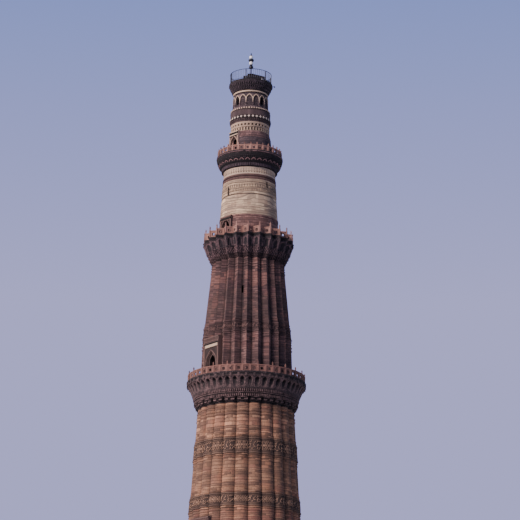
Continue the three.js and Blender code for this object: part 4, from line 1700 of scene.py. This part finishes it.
        def back(share, rise):
            point, _ = STAR.point(middle + share * 0.5)
            reach = math.hypot(*point)
            return (point[0] * wall / reach, point[1] * wall / reach, bottom + (top - bottom) * rise)

        return niche_cell(place, back, 0.3, 0.09, 0.66)

    def bracket(self, middle, heights, radii):
        """A rounded bracket that stands in a niche of the third balcony."""
        work = Masonry()
        bottom, top = heights
        rows = []
        for rise, size, sunk in ((0.03, 0.6, 0.02), (0.25, 1.0, 0.03), (0.5, 0.9, 0.05), (0.64, 0.4, 0.12)):
            radius = radii[0] + (radii[1] - radii[0]) * rise
            level = bottom + (top - bottom) * rise
            row = []
            for across, back, relief in (
                (-0.04, 0.15, 0.1), (-0.03, 0.04, 0.4), (0, 0, 0.7), (0.03, 0.04, 0.4), (0.04, 0.15, 0.1),
            ):
                point = on_plan(STAR, middle + across * size, radius, level, 0, sunk + back)
                row.append(work.add(point, relief))
            rows.append(row)
        work.prism(*rows)
        return work

    def flared(self):
        """The fourth balcony's smooth flare, with rows of teeth and small arches round its rim."""
        profile, wall = BALCONIES[4]["corbels"], BALCONIES[4]["wall"]
        piece = Piece("sooted cap")
        section = (
            (63.84, 2.2), (63.84, 2.28), (63.92, 2.31), (63.94, 2.31), (63.96, 2.36), (64.22, 2.47),
            (64.25, 2.55), (64.3, 2.6), (64.5, 2.66), (64.54, 2.7), (64.7, 2.77), (64.8, 2.84),
            (64.91, 2.87), (64.91, wall), (63.84, wall),
        )
        piece.lathe(section, 0.3)
        for low, high in ((64.56, 64.6), (64.68, 64.72)):
            piece.teeth(96, (low, high), radius_at(profile, low), 0.02, 0.7)
        piece.teeth(96, (63.9, 64.14), 2.39, 0.05)
        piece.finish("balcony_4_flared_corbels", "dark_stone", "balcony_4_corbels")
        tips = Masonry()
        middle_radius = 2.6

        def place(across, rise, proud):
            radius = 2.58 + 0.12 * rise / 0.24 + proud
            return (*polar(math.degrees(across / middle_radius), radius), 64.28 + rise)

        half = math.pi * middle_radius / UPPER_PANELS * 0.98
        for side in (-half, half):
            path = [(side * 0.72, 0.06), (side * 0.55, 0.13), (side * 0.3, 0.18), (0, 0.2)]
            add_stroke(tips, place, path, 0.06, (-0.02, 0.05), 0.95)
        worn = Piece("worn sandstone")
        worn.ring(tips, UPPER_PANELS)
        worn.lathe(((65.05, 2.8), (65.05, 2.895), (65.1, 2.9), (65.1, 2.8)), 0.8)
        worn.finish("balcony_4_arch_tips", "red_sandstone")


class MINARET_OT_decks(bpy.types.Operator):
    """Build the balconies' floors with their moulded rims"""

    bl_idname = "minaret.decks"
    bl_label = "Balcony Decks"

    # The rim's section as (height over the floor, distance inside the rim)
    rim = (
        (-DECK, 0.05), (-0.19, 0.02), (-0.15, 0.02), (-0.13, 0.06), (-0.1, 0.06), (-0.08, 0),
        (0.03, 0), (0.07, 0.03), (0.07, 0.079), (0, 0.079),
    )

    def execute(self, context):
        for number, balcony in BALCONIES.items():
            floor = balcony["floor"]
            rim = [(floor + rise, balcony["rim"] - inside) for rise, inside in self.rim]
            piece = Piece("sooted stone")
            piece.lathe([(floor - DECK, 0), *rim, (floor, 0)], 0.45, deck_plan(number))
            name = f"balcony_{number}_moulded_deck"
            piece.finish(name, "dark_stone", f"balcony_{number}_deck", wear=0.02)
        return {"FINISHED"}


def deck_plan(number):
    """The outline of a balcony, turned so that its corners meet the CAD deck's."""
    if number == 3:
        return STAR
    return CirclePlan(PANELS, 180 / PANELS) if number < 3 else CirclePlan(UPPER_PANELS)


class MINARET_OT_parapets(bpy.types.Operator):
    """Build the pierced panels and slender posts round the four balconies"""

    bl_idname = "minaret.parapets"
    bl_label = "Pierced Parapets"

    # How many posts each balcony has, the first one's turn, and the width of their lower part
    # beside the whole
    posts = {
        1: (FLUTES, 0, 0.6), 2: (FLUTES, 0, 0.6), 3: (FLUTES, ANGULAR_TURN, 1.15),
        4: (UPPER_PANELS, 180 / UPPER_PANELS, 0.6),
    }

    def execute(self, context):
        for number in BALCONIES:
            self.parapet(number)
        return {"FINISHED"}

    def parapet(self, number):
        """A balcony's panels and posts. The third balcony's panels follow its pointed plan, two to
        each point, and the others' are flat."""
        balcony = BALCONIES[number]
        floor, face, panel = balcony["floor"], balcony["rim"] - PARAPET_SETBACK, balcony["panel"]
        plan = deck_plan(number)
        piece = Piece("lower parapet stone" if number < 3 else "parapet stone")
        if number == 3:
            for middle in (-0.25, 0.25):

                def place(share, rise, depth, middle=middle):
                    inset = -PARAPET_THICKNESS * depth
                    return on_plan(plan, middle + share * 0.5, face, floor + panel * rise, inset)

                piece.ring(panel_cell(place), plan.cells, plan.turn)
        else:

            def place(share, rise, depth):
                left, right = (polar(side * 180 / plan.cells, face) for side in (-1, 1))
                along = [a + (b - a) * (share + 0.5) for a, b in zip(left, right)]
                shrink = 1 - PARAPET_THICKNESS * depth / face
                return (along[0] * shrink, along[1] * shrink, floor + panel * rise)

            piece.ring(panel_cell(place), plan.cells, plan.turn)
        count, turn, foot = self.posts[number]
        piece.ring(self.post(floor + 0.001, floor + panel, face, balcony["post"], foot), count, turn)
        name = f"balcony_{number}_pierced_parapet"
        piece.finish(name, "pink_stone", f"balcony_{number}_parapet", wear=0.015)

    def post(self, bottom, top, face, share, foot):
        """A slender post with a pointed head, standing at a joint between panels."""
        carving = bpy.context.scene.minaret_carving
        half = carving.post_width / 2
        rise = carving.post_rise * share
        levels = (
            (bottom, foot), (top - 0.02, foot), (top + 0.01, 0.85), (top + rise * 0.55, 0.7),
            (top + rise * 0.58, 1.1), (top + rise * 0.68, 1.1), (top + rise * 0.72, 0.6), (top + rise, 0.08),
        )
        work = Masonry()
        middle = PARAPET_THICKNESS / 2 - face
        add_square_post(work, [(height, half * size) for height, size in levels], middle, 0.7)
        return work


class MINARET_OT_marble_storey(bpy.types.Operator):
    """Build the fourth storey: sandstone base, marble drum, frieze and ribbed crown"""

    bl_idname = "minaret.marble_storey"
    bl_label = "Marble Storey"

    # Outlines as (height, how proud of the wall)
    base = ((57.43, 0), (58.2, 0), (BASE_TOP - 0.14, 0), (BASE_TOP - 0.12, 0.035), (BASE_TOP, 0.035))
    drum = (
        (BASE_TOP, 0.03), (BASE_TOP + 0.08, 0.03), (BASE_TOP + 0.1, 0), (60.2, 0), (61.29, 0),
        (61.31, -0.06), (61.38, -0.06), (61.4, 0.01), (61.6, 0.01), (61.62, -0.02), (61.84, -0.02),
        (61.86, 0), (61.88, 0), (61.9, 0.025), (61.94, 0.025), (61.96, 0), (61.98, -0.02),
        (62.28, -0.02), (62.3, 0), (62.4, 0), (62.42, -0.02), (62.5, -0.02), (62.52, 0),
        (FRIEZE_BOTTOM - 0.02, 0), (FRIEZE_BOTTOM, 0.02),
    )
    frieze = (
        (FRIEZE_BOTTOM, 0.02), (FRIEZE_BOTTOM + 0.05, 0.03), (62.96, 0.0), (62.98, -0.03),
        (63.0, -0.03), (63.02, 0.03), (FRIEZE_TOP, 0.03),
    )
    crown = (
        (FRIEZE_TOP, 0.02), (63.31, 0.03), (63.33, 0.03), (63.35, -0.05), (63.44, -0.05), (63.46, 0),
        (63.48, -0.01), (63.7, -0.01), (63.72, 0.03), (63.84, 0.04), (63.86, 0), (CROWN_TOP, 0),
    )
    # Rows of upright ribs as (how many, bottom, top, how proud)
    drum_ribs = ((96, 61.62, 61.84, 0.03), (64, 61.98, 62.28, 0.035), (96, 62.42, 62.5, 0.03))
    frieze_ribs = ((64, 63.02, 63.11, 0.05),)
    crown_ribs = ((60, 63.34, 63.45, 0.0), (60, 63.46, 63.72, 0.025))
    lozenges = (62.7, 62.95)

    def execute(self, context):
        profile = STOREY_4["profile"]
        for name, look, slot, node, outline, ribs, cutters in (
            ("base", "red drum", "red_sandstone", "base_course", self.base, (), door_cutters(DOORS[4])),
            ("marble_drum", "marble ashlar", "marble", "marble_wall", self.drum, self.drum_ribs,
             [slit_cutter(slit) for slit in SLITS_4]),
            ("red_frieze", "carved frieze", "red_sandstone", "frieze", self.frieze, self.frieze_ribs, ()),
            ("ribbed_crown", "carved marble", "marble", "marble_crown", self.crown, self.crown_ribs, ()),
        ):
            piece = Piece(look)
            levels = [
                (height, radius_at(profile, height), proud, self.relief(proud)) for height, proud in outline
            ]
            piece.wall(SMOOTH, levels, STOREY_4["bore"])
            if outline is self.frieze:
                work = Masonry()
                add_lozenge(work, profile, 180 / PANELS * 0.85, self.lozenges, (-0.02, 0.045), (0.4, 1.0))
                piece.ring(work, PANELS)
            for cells, bottom, top, proud in ribs:
                radii = (radius_at(profile, bottom), radius_at(profile, top))
                piece.teeth(cells, (bottom, top), radii, proud, 1.0, 0.26, 180 / cells, 0.06)
            if cutters:
                piece.carve(cutters)
            piece.finish(f"storey_4_{name}", slot, f"storey_4_{node}")
        return {"FINISHED"}

    def relief(self, proud):
        """How proud a moulding stands for its material: what lies back gets painted shade."""
        if proud >= 0:
            return 0.9
        return 0.4 if proud > -0.025 else 0.1


class MINARET_OT_top_storey(bpy.types.Operator):
    """Build the fifth storey: wall, marble collar, string course and arcade"""

    bl_idname = "minaret.top_storey"
    bl_label = "Top Storey"

    # Outlines as (height, radius, relief)
    colour_change = 66.76
    lower_wall = ((FLOOR_5, 1.97, 0.9), (colour_change, 1.835, 0.9))
    upper_wall = ((colour_change, 1.835, 0.9), (66.9, 1.825, 0.9), (WALL_TOP, 1.7, 0.9))
    collar = (
        (WALL_TOP, 1.67, 0.9), (67.36, 1.69, 1), (67.4, 1.69, 1), (67.43, 1.6, 0), (67.66, 1.6, 0),
        (67.74, 1.69, 1), (67.84, 1.71, 1), (67.86, 1.6, 0), (68.02, 1.6, 0), (68.04, 1.71, 1),
        (68.18, 1.72, 1), (COLLAR_TOP, 1.69, 0.6),
    )
    string_course = (
        (COLLAR_TOP, 1.7, 0.5), (68.34, 1.745, 0.4), (68.36, 1.72, 0.0), (68.48, 1.76, 0.0),
        (68.5, 1.81, 0.4), (68.53, 1.815, 0.4), (68.55, 1.775, 0.3), (68.78, 1.745, 0.3),
        (68.8, 1.775, 0.8), (68.82, 1.775, 0.8), (68.84, 1.755, 0.7), (69.24, 1.75, 0.7),
        (69.26, 1.765, 0.9), (69.3, 1.765, 0.9), (69.32, 1.71, 0.05), (69.38, 1.71, 0.05),
        (69.4, 1.73, 0.7), (STRING_TOP, 1.66, 0.6),
    )
    # The arcade: its wall as (height, radius), its arches' foot and head, and what closes it below
    # and above
    arcade_profile = ((69.5, 1.63), (69.9, 1.555), (71.2, 1.5))
    arch_cell = 360 / ARCADE_ARCHES
    foot, head = 69.69, 70.92
    below = (
        (STRING_TOP, 1.63), (69.55, 1.65), (foot - 0.02, 1.62), (foot, 1.6), (foot, FIFTH_BORE),
        (STRING_TOP, FIFTH_BORE),
    )
    above = (
        (head, 1.5), (head, 1.42), (71.0, 1.42), (71.0, 1.49), (CAP_FOOT, 1.49), (CAP_FOOT, FIFTH_BORE),
        (head, FIFTH_BORE),
    )

    def execute(self, context):
        self.make_walls()
        self.make_collar()
        self.make_string_course()
        self.make_arcade()
        return {"FINISHED"}

    def drum(self, look, outline):
        """A piece that starts with a round hollow drum."""
        piece = Piece(look)
        piece.wall(SMOOTH, [(height, radius, 0, relief) for height, radius, relief in outline], FIFTH_BORE)
        return piece

    def make_walls(self):
        """Grey courses, and rosier ones over them up to the collar."""
        for name, look, slot, node, outline in (
            ("coursed_wall", "grey drum", "grey_stone", "lower_wall", self.lower_wall),
            ("rosy_courses", "rosy drum", "red_sandstone", "upper_wall", self.upper_wall),
        ):
            piece = self.drum(look, outline)
            piece.carve(door_cutters(DOORS[5]))
            piece.finish(f"storey_5_{name}", slot, f"storey_5_{node}")

    def make_collar(self):
        """Marble flutes with a ring of small hollows above them."""
        piece = self.drum("collar marble", self.collar)
        piece.teeth(40, (67.4, 67.666), 1.6, 0.1, 1.0, 0.25, 4.5, 0.03)
        piece.niches(32, (67.82, 68.06), (1.68, 1.7), 1.4, 0.12, 0.34, 0.5)
        piece.finish("storey_5_fluted_collar", "marble", "storey_5_marble_collar")

    def make_string_course(self):
        """A flare of hollows with painted shade under a roll, a row of lozenges with dark teeth between them
        as painted shadow, and a plain band.
        """
        piece = self.drum("string stone", self.string_course)
        piece.teeth(64, (68.36, 68.51), 1.745, 0.04, 0.6)
        piece.finish("storey_5_string_mouldings", "carved_band", "storey_5_string_course")
        low, high, radius = 68.54, 68.79, 1.74
        work = Masonry()
        add_lozenge(work, ((low, radius), (high, radius)), 4.2, (low, high), (0, 0.065), (0.5, 1.0))
        row = Piece("white marble")
        row.ring(work, UPPER_PANELS)
        row.finish("storey_5_lozenge_row", "marble")
        # Dark teeth between the lozenges' lower halves, painted shadow under the lozenges
        shadow_teeth = Piece("sooted cap")
        shadow_teeth.teeth(UPPER_PANELS, (68.5, 68.63), 1.76, 0.055, 0.0, 0.2, 180 / UPPER_PANELS)
        shadow_teeth.finish("storey_5_dark_insets", "dark_stone")

    def make_arcade(self):
        """Sixteen pointed arches, four of them open, outlined in marble."""
        profile, foot, head = self.arcade_profile, self.foot, self.head

        def place(share, rise, sunk):
            height = foot + (head - foot) * rise
            return (*polar(share * self.arch_cell, radius_at(profile, height) - sunk), height)

        piece = Piece("grey drum")
        back = round_map(ARCADE_ARCHES, (foot, head), FIFTH_BORE)
        piece.ring(self.arch_cell_work(place, back), ARCADE_ARCHES)
        piece.carve([arch_block(*window, 0, FAR) for window in ARCADE_WINDOWS])
        piece.lathe(self.below)
        piece.lathe(self.above)
        piece.finish("storey_5_arched_wall", "grey_stone", "storey_5_arcade")
        radius = radius_at(profile, (foot + head) / 2)

        def trim_place(across, rise, proud):
            height = foot + rise
            return (*polar(math.degrees(across / radius), radius_at(profile, height) + proud), height)

        arch = Masonry()
        width = math.radians(self.arch_cell) * radius
        add_stroke(arch, trim_place, arch_outline(width * 0.94, 1.1, 6)[1:-1], 0.065, (-0.02, 0.03))
        wedge = Masonry()
        wedge.prism(*(
            [
                wedge.add(trim_place(across, rise, depth))
                for across, rise in ((0, 0.3), (0.05, 0.62), (0.085, 0.86), (-0.085, 0.86), (-0.05, 0.62))
            ]
            for depth in (-0.02, 0.025)
        ))
        trim = Piece("carved marble")
        trim.ring(arch, ARCADE_ARCHES)
        trim.ring(wedge, ARCADE_ARCHES, self.arch_cell / 2)
        trim.lathe(((71.03, 1.4), (71.03, 1.53), (71.15, 1.535), (71.15, 1.4)), 1.0)
        trim.teeth(PANELS, (69.41, 69.52), 1.71, 0.03, 0.6, 0.27)
        trim.finish("storey_5_arch_trim", "marble")

    def arch_cell_work(self, place, back):
        """One blind arch of the arcade's closed wall: a sunk face, the wall round it and its back."""
        work = Masonry()
        width = math.radians(self.arch_cell) * radius_at(self.arcade_profile, self.foot)
        height = self.head - self.foot
        outline = [(across / width, rise / height) for across, rise in arch_outline(width * 0.8, 1.05, 5)]
        face, hollow = (
            [work.add(place(a * shrink, max(0.02, r * shrink), sunk), relief) for a, r in outline]
            for sunk, shrink, relief in ((0.0, 1.0, 0.9), (0.07, 0.96, 0.35))
        )
        work.grid([face, hollow])
        work.faces.append(tuple(reversed(hollow)))
        count = len(outline)
        middle = count // 2
        edges = []
        for number, (_, rise) in enumerate(outline):
            side = -0.5 if number < middle else 0.5
            if number in (0, count - 1):
                edges.append((side, 0.02))
            elif abs(number - middle) >= 3:
                edges.append((side, rise))
            elif number == middle:
                edges.append((0, 1))
            else:
                edges.append((side * (1 if abs(number - middle) == 2 else 0.5), 1))
        rim = [work.add(place(a, r, 0), 0.8) for a, r in edges]
        work.grid([rim, face])
        sill = [work.add(place(a, 0, 0), 0.7) for a in (-0.5, outline[0][0], outline[-1][0], 0.5)]
        work.grid([sill, [rim[0], face[0], face[-1], rim[-1]]])
        work.faces.append((face[0], hollow[0], hollow[-1], face[-1]))
        left, right = ([work.add(back(side, rise), 0.2) for rise in (0, 1)] for side in (-0.5, 0.5))
        work.grid([left, right])
        work.faces.append(tuple(sill) + (right[0], left[0]))
        tops = [index for index, (_, rise) in zip(rim, edges) if rise == 1]
        work.faces.append(tuple(tops) + (right[1], left[1]))
        return work


class MINARET_OT_cap(bpy.types.Operator):
    """Build the flared cap with its tiers of fine niches and its kerb"""

    bl_idname = "minaret.cap"
    bl_label = "Flared Cap"

    # Rows of niches as (how many, heights, radii)
    tiers = (
        (64, (71.24, 71.38), (1.595, 1.67)), (56, (71.42, 71.61), (1.7, 1.79)),
        (56, (71.65, 71.86), (1.81, 1.895)),
    )
    core = (
        (CAP_FOOT, 1.55), (CAP_FOOT, 1.58), (71.23, 1.6), (71.25, 1.53), (71.38, 1.6), (71.39, 1.69),
        (71.41, 1.7), (71.43, 1.63), (71.61, 1.72), (71.62, 1.8), (71.64, 1.81), (71.66, 1.74),
        (71.85, 1.82), (71.87, 1.915), (71.9, 1.925), (CAP_DECK, 1.925), (CAP_DECK, 0),
        (CAP_BORE_TOP, 0), (CAP_BORE_TOP, FIFTH_BORE), (CAP_FOOT, FIFTH_BORE),
    )
    inside = KERB_RADIUS - KERB_THICKNESS
    kerb = (
        (CAP_DECK, KERB_RADIUS), (72.0, KERB_RADIUS), (72.01, 1.895), (72.03, 1.895),
        (72.04, KERB_RADIUS), (72.1, KERB_RADIUS), (KERB_TOP, 1.9), (KERB_TOP, inside), (CAP_DECK, inside),
    )

    def execute(self, context):
        piece = Piece("sooted cap")
        for cells, heights, radii in self.tiers:
            piece.niches(cells, heights, radii, 1.4, 0.07, 0.32, 0.5)
        piece.lathe(self.core, 0.7)
        piece.finish("cap_niche_tiers", "dark_stone", "cap_corbels", wear=0.02)
        kerb = Piece("sooted cap")
        kerb.lathe(self.kerb, 0.5)
        kerb.finish("cap_moulded_kerb", "dark_stone", "cap_kerb")
        return {"FINISHED"}


class MINARET_OT_hood(bpy.types.Operator):
    """Build the sloping hood over the stair"""

    bl_idname = "minaret.hood"
    bl_label = "Stair Hood"

    direction = 139.0
    depth = 1.05
    roof_depth = 1.15
    # Outlines as (distance along the hood's direction, height)
    walls = ((-0.68, 71.96), (1.2, 71.96), (1.2, 72.58), (1.17, 72.73), (0.12, 72.98), (-0.25, 72.98),
             (-0.39, 72.87), (-0.68, 72.87))
    roof = ((1.24, 72.71), (1.24, 72.78), (0.14, 73.05), (-0.3, 73.05), (-0.3, 72.98), (0.11, 72.98))

    def execute(self, context):
        piece = Piece("sooted cap")
        for outline, depth in ((self.walls, self.depth), (self.roof, self.roof_depth)):
            turned = [(-along, height) for along, height in outline]
            piece.add(block(self.direction + 90, turned, (-depth / 2, depth / 2), 0.3))
        piece.finish("stair_hood_walls", "dark_stone", "stair_hood", bevel=0.02)
        return {"FINISHED"}


class MINARET_OT_ironwork(bpy.types.Operator):
    """Build the railing, the mast and its lamps"""

    bl_idname = "minaret.ironwork"
    bl_label = "Railing, Mast and Lamps"

    rail_radius = 1.8175
    rail_top = 73.05
    lower_rail = 72.22
    first_post = 35
    post_count = 6
    mast = (
        (73.0, 0), (73.0, 0.06), (73.72, 0.06), (73.76, 0.19), (73.86, 0.2), (74.04, 0.12),
        (74.06, 0.09), (74.38, 0.09), (74.42, 0.21), (74.48, 0.24), (74.56, 0.24), (74.62, 0.18),
        (74.64, 0.09), (74.94, 0.09), (74.98, 0.09), (75.04, 0.05), (75.2, 0.025), (75.22, 0),
    )
    mast_lamps = (("lower", 74.1, 74.36), ("upper", 74.66, 74.9))
    flood_angles = (85, 103)
    flood_radius = 1.765
    bracket_angle = 12.5 * 360 / UPPER_PANELS

    def execute(self, context):
        self.make_railing()
        self.make_mast()
        self.make_flood_lamps()
        self.make_bracket_lamp()
        return {"FINISHED"}

    def make_railing(self):
        """Two rails on six posts, and the thin bars between them."""
        settings = bpy.context.scene.minaret_iron
        piece = Piece("iron")
        for height, thickness in ((self.rail_top - 0.025, 0.024), (self.lower_rail, 0.018)):
            loop = []
            for step in range(8):
                turn = math.radians(45 * step)
                radius = self.rail_radius + thickness * math.cos(turn)
                loop.append((height + thickness * math.sin(turn), radius))
            piece.lathe(loop)
        post, bar = Masonry(), Masonry()
        half, foot = settings.post_width / 2, settings.post_width
        levels = ((KERB_TOP, foot), (KERB_TOP + 0.02, foot), (KERB_TOP + 0.03, half), (self.rail_top, half))
        add_square_post(post, levels, 0.02 - self.rail_radius)
        piece.ring(post, self.post_count, self.first_post)
        piece.finish("cap_iron_railing", "dark_metal", "cap_railing")
        half = settings.bar_width / 2
        add_square_post(bar, ((self.lower_rail, half), (self.rail_top - 0.03, half)), -self.rail_radius)
        bars = Piece("thin iron")
        bars.ring(bar, settings.bar_count)
        bars.finish("cap_railing_bars", "dark_metal")

    def make_mast(self):
        """A turned mast with two lamps round it."""
        plan = CirclePlan(24)
        piece = Piece("iron")
        piece.lathe(self.mast, plan=plan)
        piece.finish("lightning_mast", "dark_metal", "mast", crease=35)
        for name, bottom, top in self.mast_lamps:
            section = (
                (bottom, 0.092), (bottom, 0.14), (bottom + 0.03, 0.16), (top - 0.03, 0.16), (top, 0.13),
                (top, 0.092),
            )
            lamp = Piece("lamp paint")
            lamp.lathe(section, plan=plan)
            lamp.finish(f"mast_beacon_{name}", "lamp_white", f"mast_lamp_{name}", crease=35)

    def make_flood_lamps(self):
        """Two lamps on the kerb, each a housing with a rim behind it and a foot."""
        outer = self.flood_radius
        for number, angle in enumerate(self.flood_angles, 1):
            piece = Piece("lamp paint")
            piece.add(
                flat_block(angle, 0.2, outer - 0.1, outer - 0.02, KERB_TOP + 0.03, KERB_TOP + 0.15),
                flat_block(angle, 0.16, outer - 0.13, outer - 0.08, KERB_TOP + 0.05, KERB_TOP + 0.13),
                flat_block(angle, 0.05, outer - 0.09, outer - 0.04, KERB_TOP, KERB_TOP + 0.05),
            )
            piece.finish(f"flood_lamp_body_{number}", "lamp_white", f"flood_lamp_{number}", bevel=0.008)

    def make_bracket_lamp(self):
        """A lamp that hangs from an arm on the kerb."""
        angle = self.bracket_angle
        piece = Piece("iron")
        piece.add(
            flat_block(angle, 0.12, 1.88, 1.915, 72.0, 72.11),
            flat_block(angle, 0.035, 1.9, 2.11, 72.05, 72.09),
            flat_block(angle, 0.1, 2.05, 2.14, 72.0, 72.1), flat_block(angle, 0.07, 2.06, 2.13, 71.98, 72.01),
        )
        piece.finish("bracket_lamp_body", "dark_metal", "bracket_lamp", bevel=0.006)

OPERATORS = (
    MINARET_OT_stage,
    MINARET_OT_plinth,
    MINARET_OT_shafts,
    MINARET_OT_bands,
    MINARET_OT_portals,
    MINARET_OT_corbels,
    MINARET_OT_decks,
    MINARET_OT_parapets,
    MINARET_OT_marble_storey,
    MINARET_OT_top_storey,
    MINARET_OT_cap,
    MINARET_OT_hood,
    MINARET_OT_ironwork,
)
SETTINGS = {
    "minaret_stone": StoneSettings,
    "minaret_carving": CarvingSettings,
    "minaret_iron": IronSettings,
    "minaret_stage": StageSettings,
}


class MINARET_PT_sidebar(bpy.types.Panel):
    """The operators and settings of the minaret"""

    bl_idname = "MINARET_PT_sidebar"
    bl_label = "Carved Minaret"
    bl_space_type = "VIEW_3D"
    bl_region_type = "UI"
    bl_category = "Minaret"

    def draw(self, context):
        for name, group in SETTINGS.items():
            box = self.layout.box()
            settings = getattr(context.scene, name)
            for prop in group.__annotations__:
                box.prop(settings, prop)
        for operator in OPERATORS:
            self.layout.operator(operator.bl_idname)


CLASSES = (*SETTINGS.values(), *OPERATORS, MINARET_PT_sidebar)


def register():
    for each in CLASSES:
        bpy.utils.register_class(each)
    for name, group in SETTINGS.items():
        setattr(bpy.types.Scene, name, PointerProperty(type=group))


def unregister():
    for name in SETTINGS:
        delattr(bpy.types.Scene, name)
    for each in reversed(CLASSES):
        bpy.utils.unregister_class(each)


def main():
    register()
    for operator in OPERATORS:
        family, name = operator.bl_idname.split(".")
        getattr(getattr(bpy.ops, family), name)()


if __name__ == "__main__":
    main()
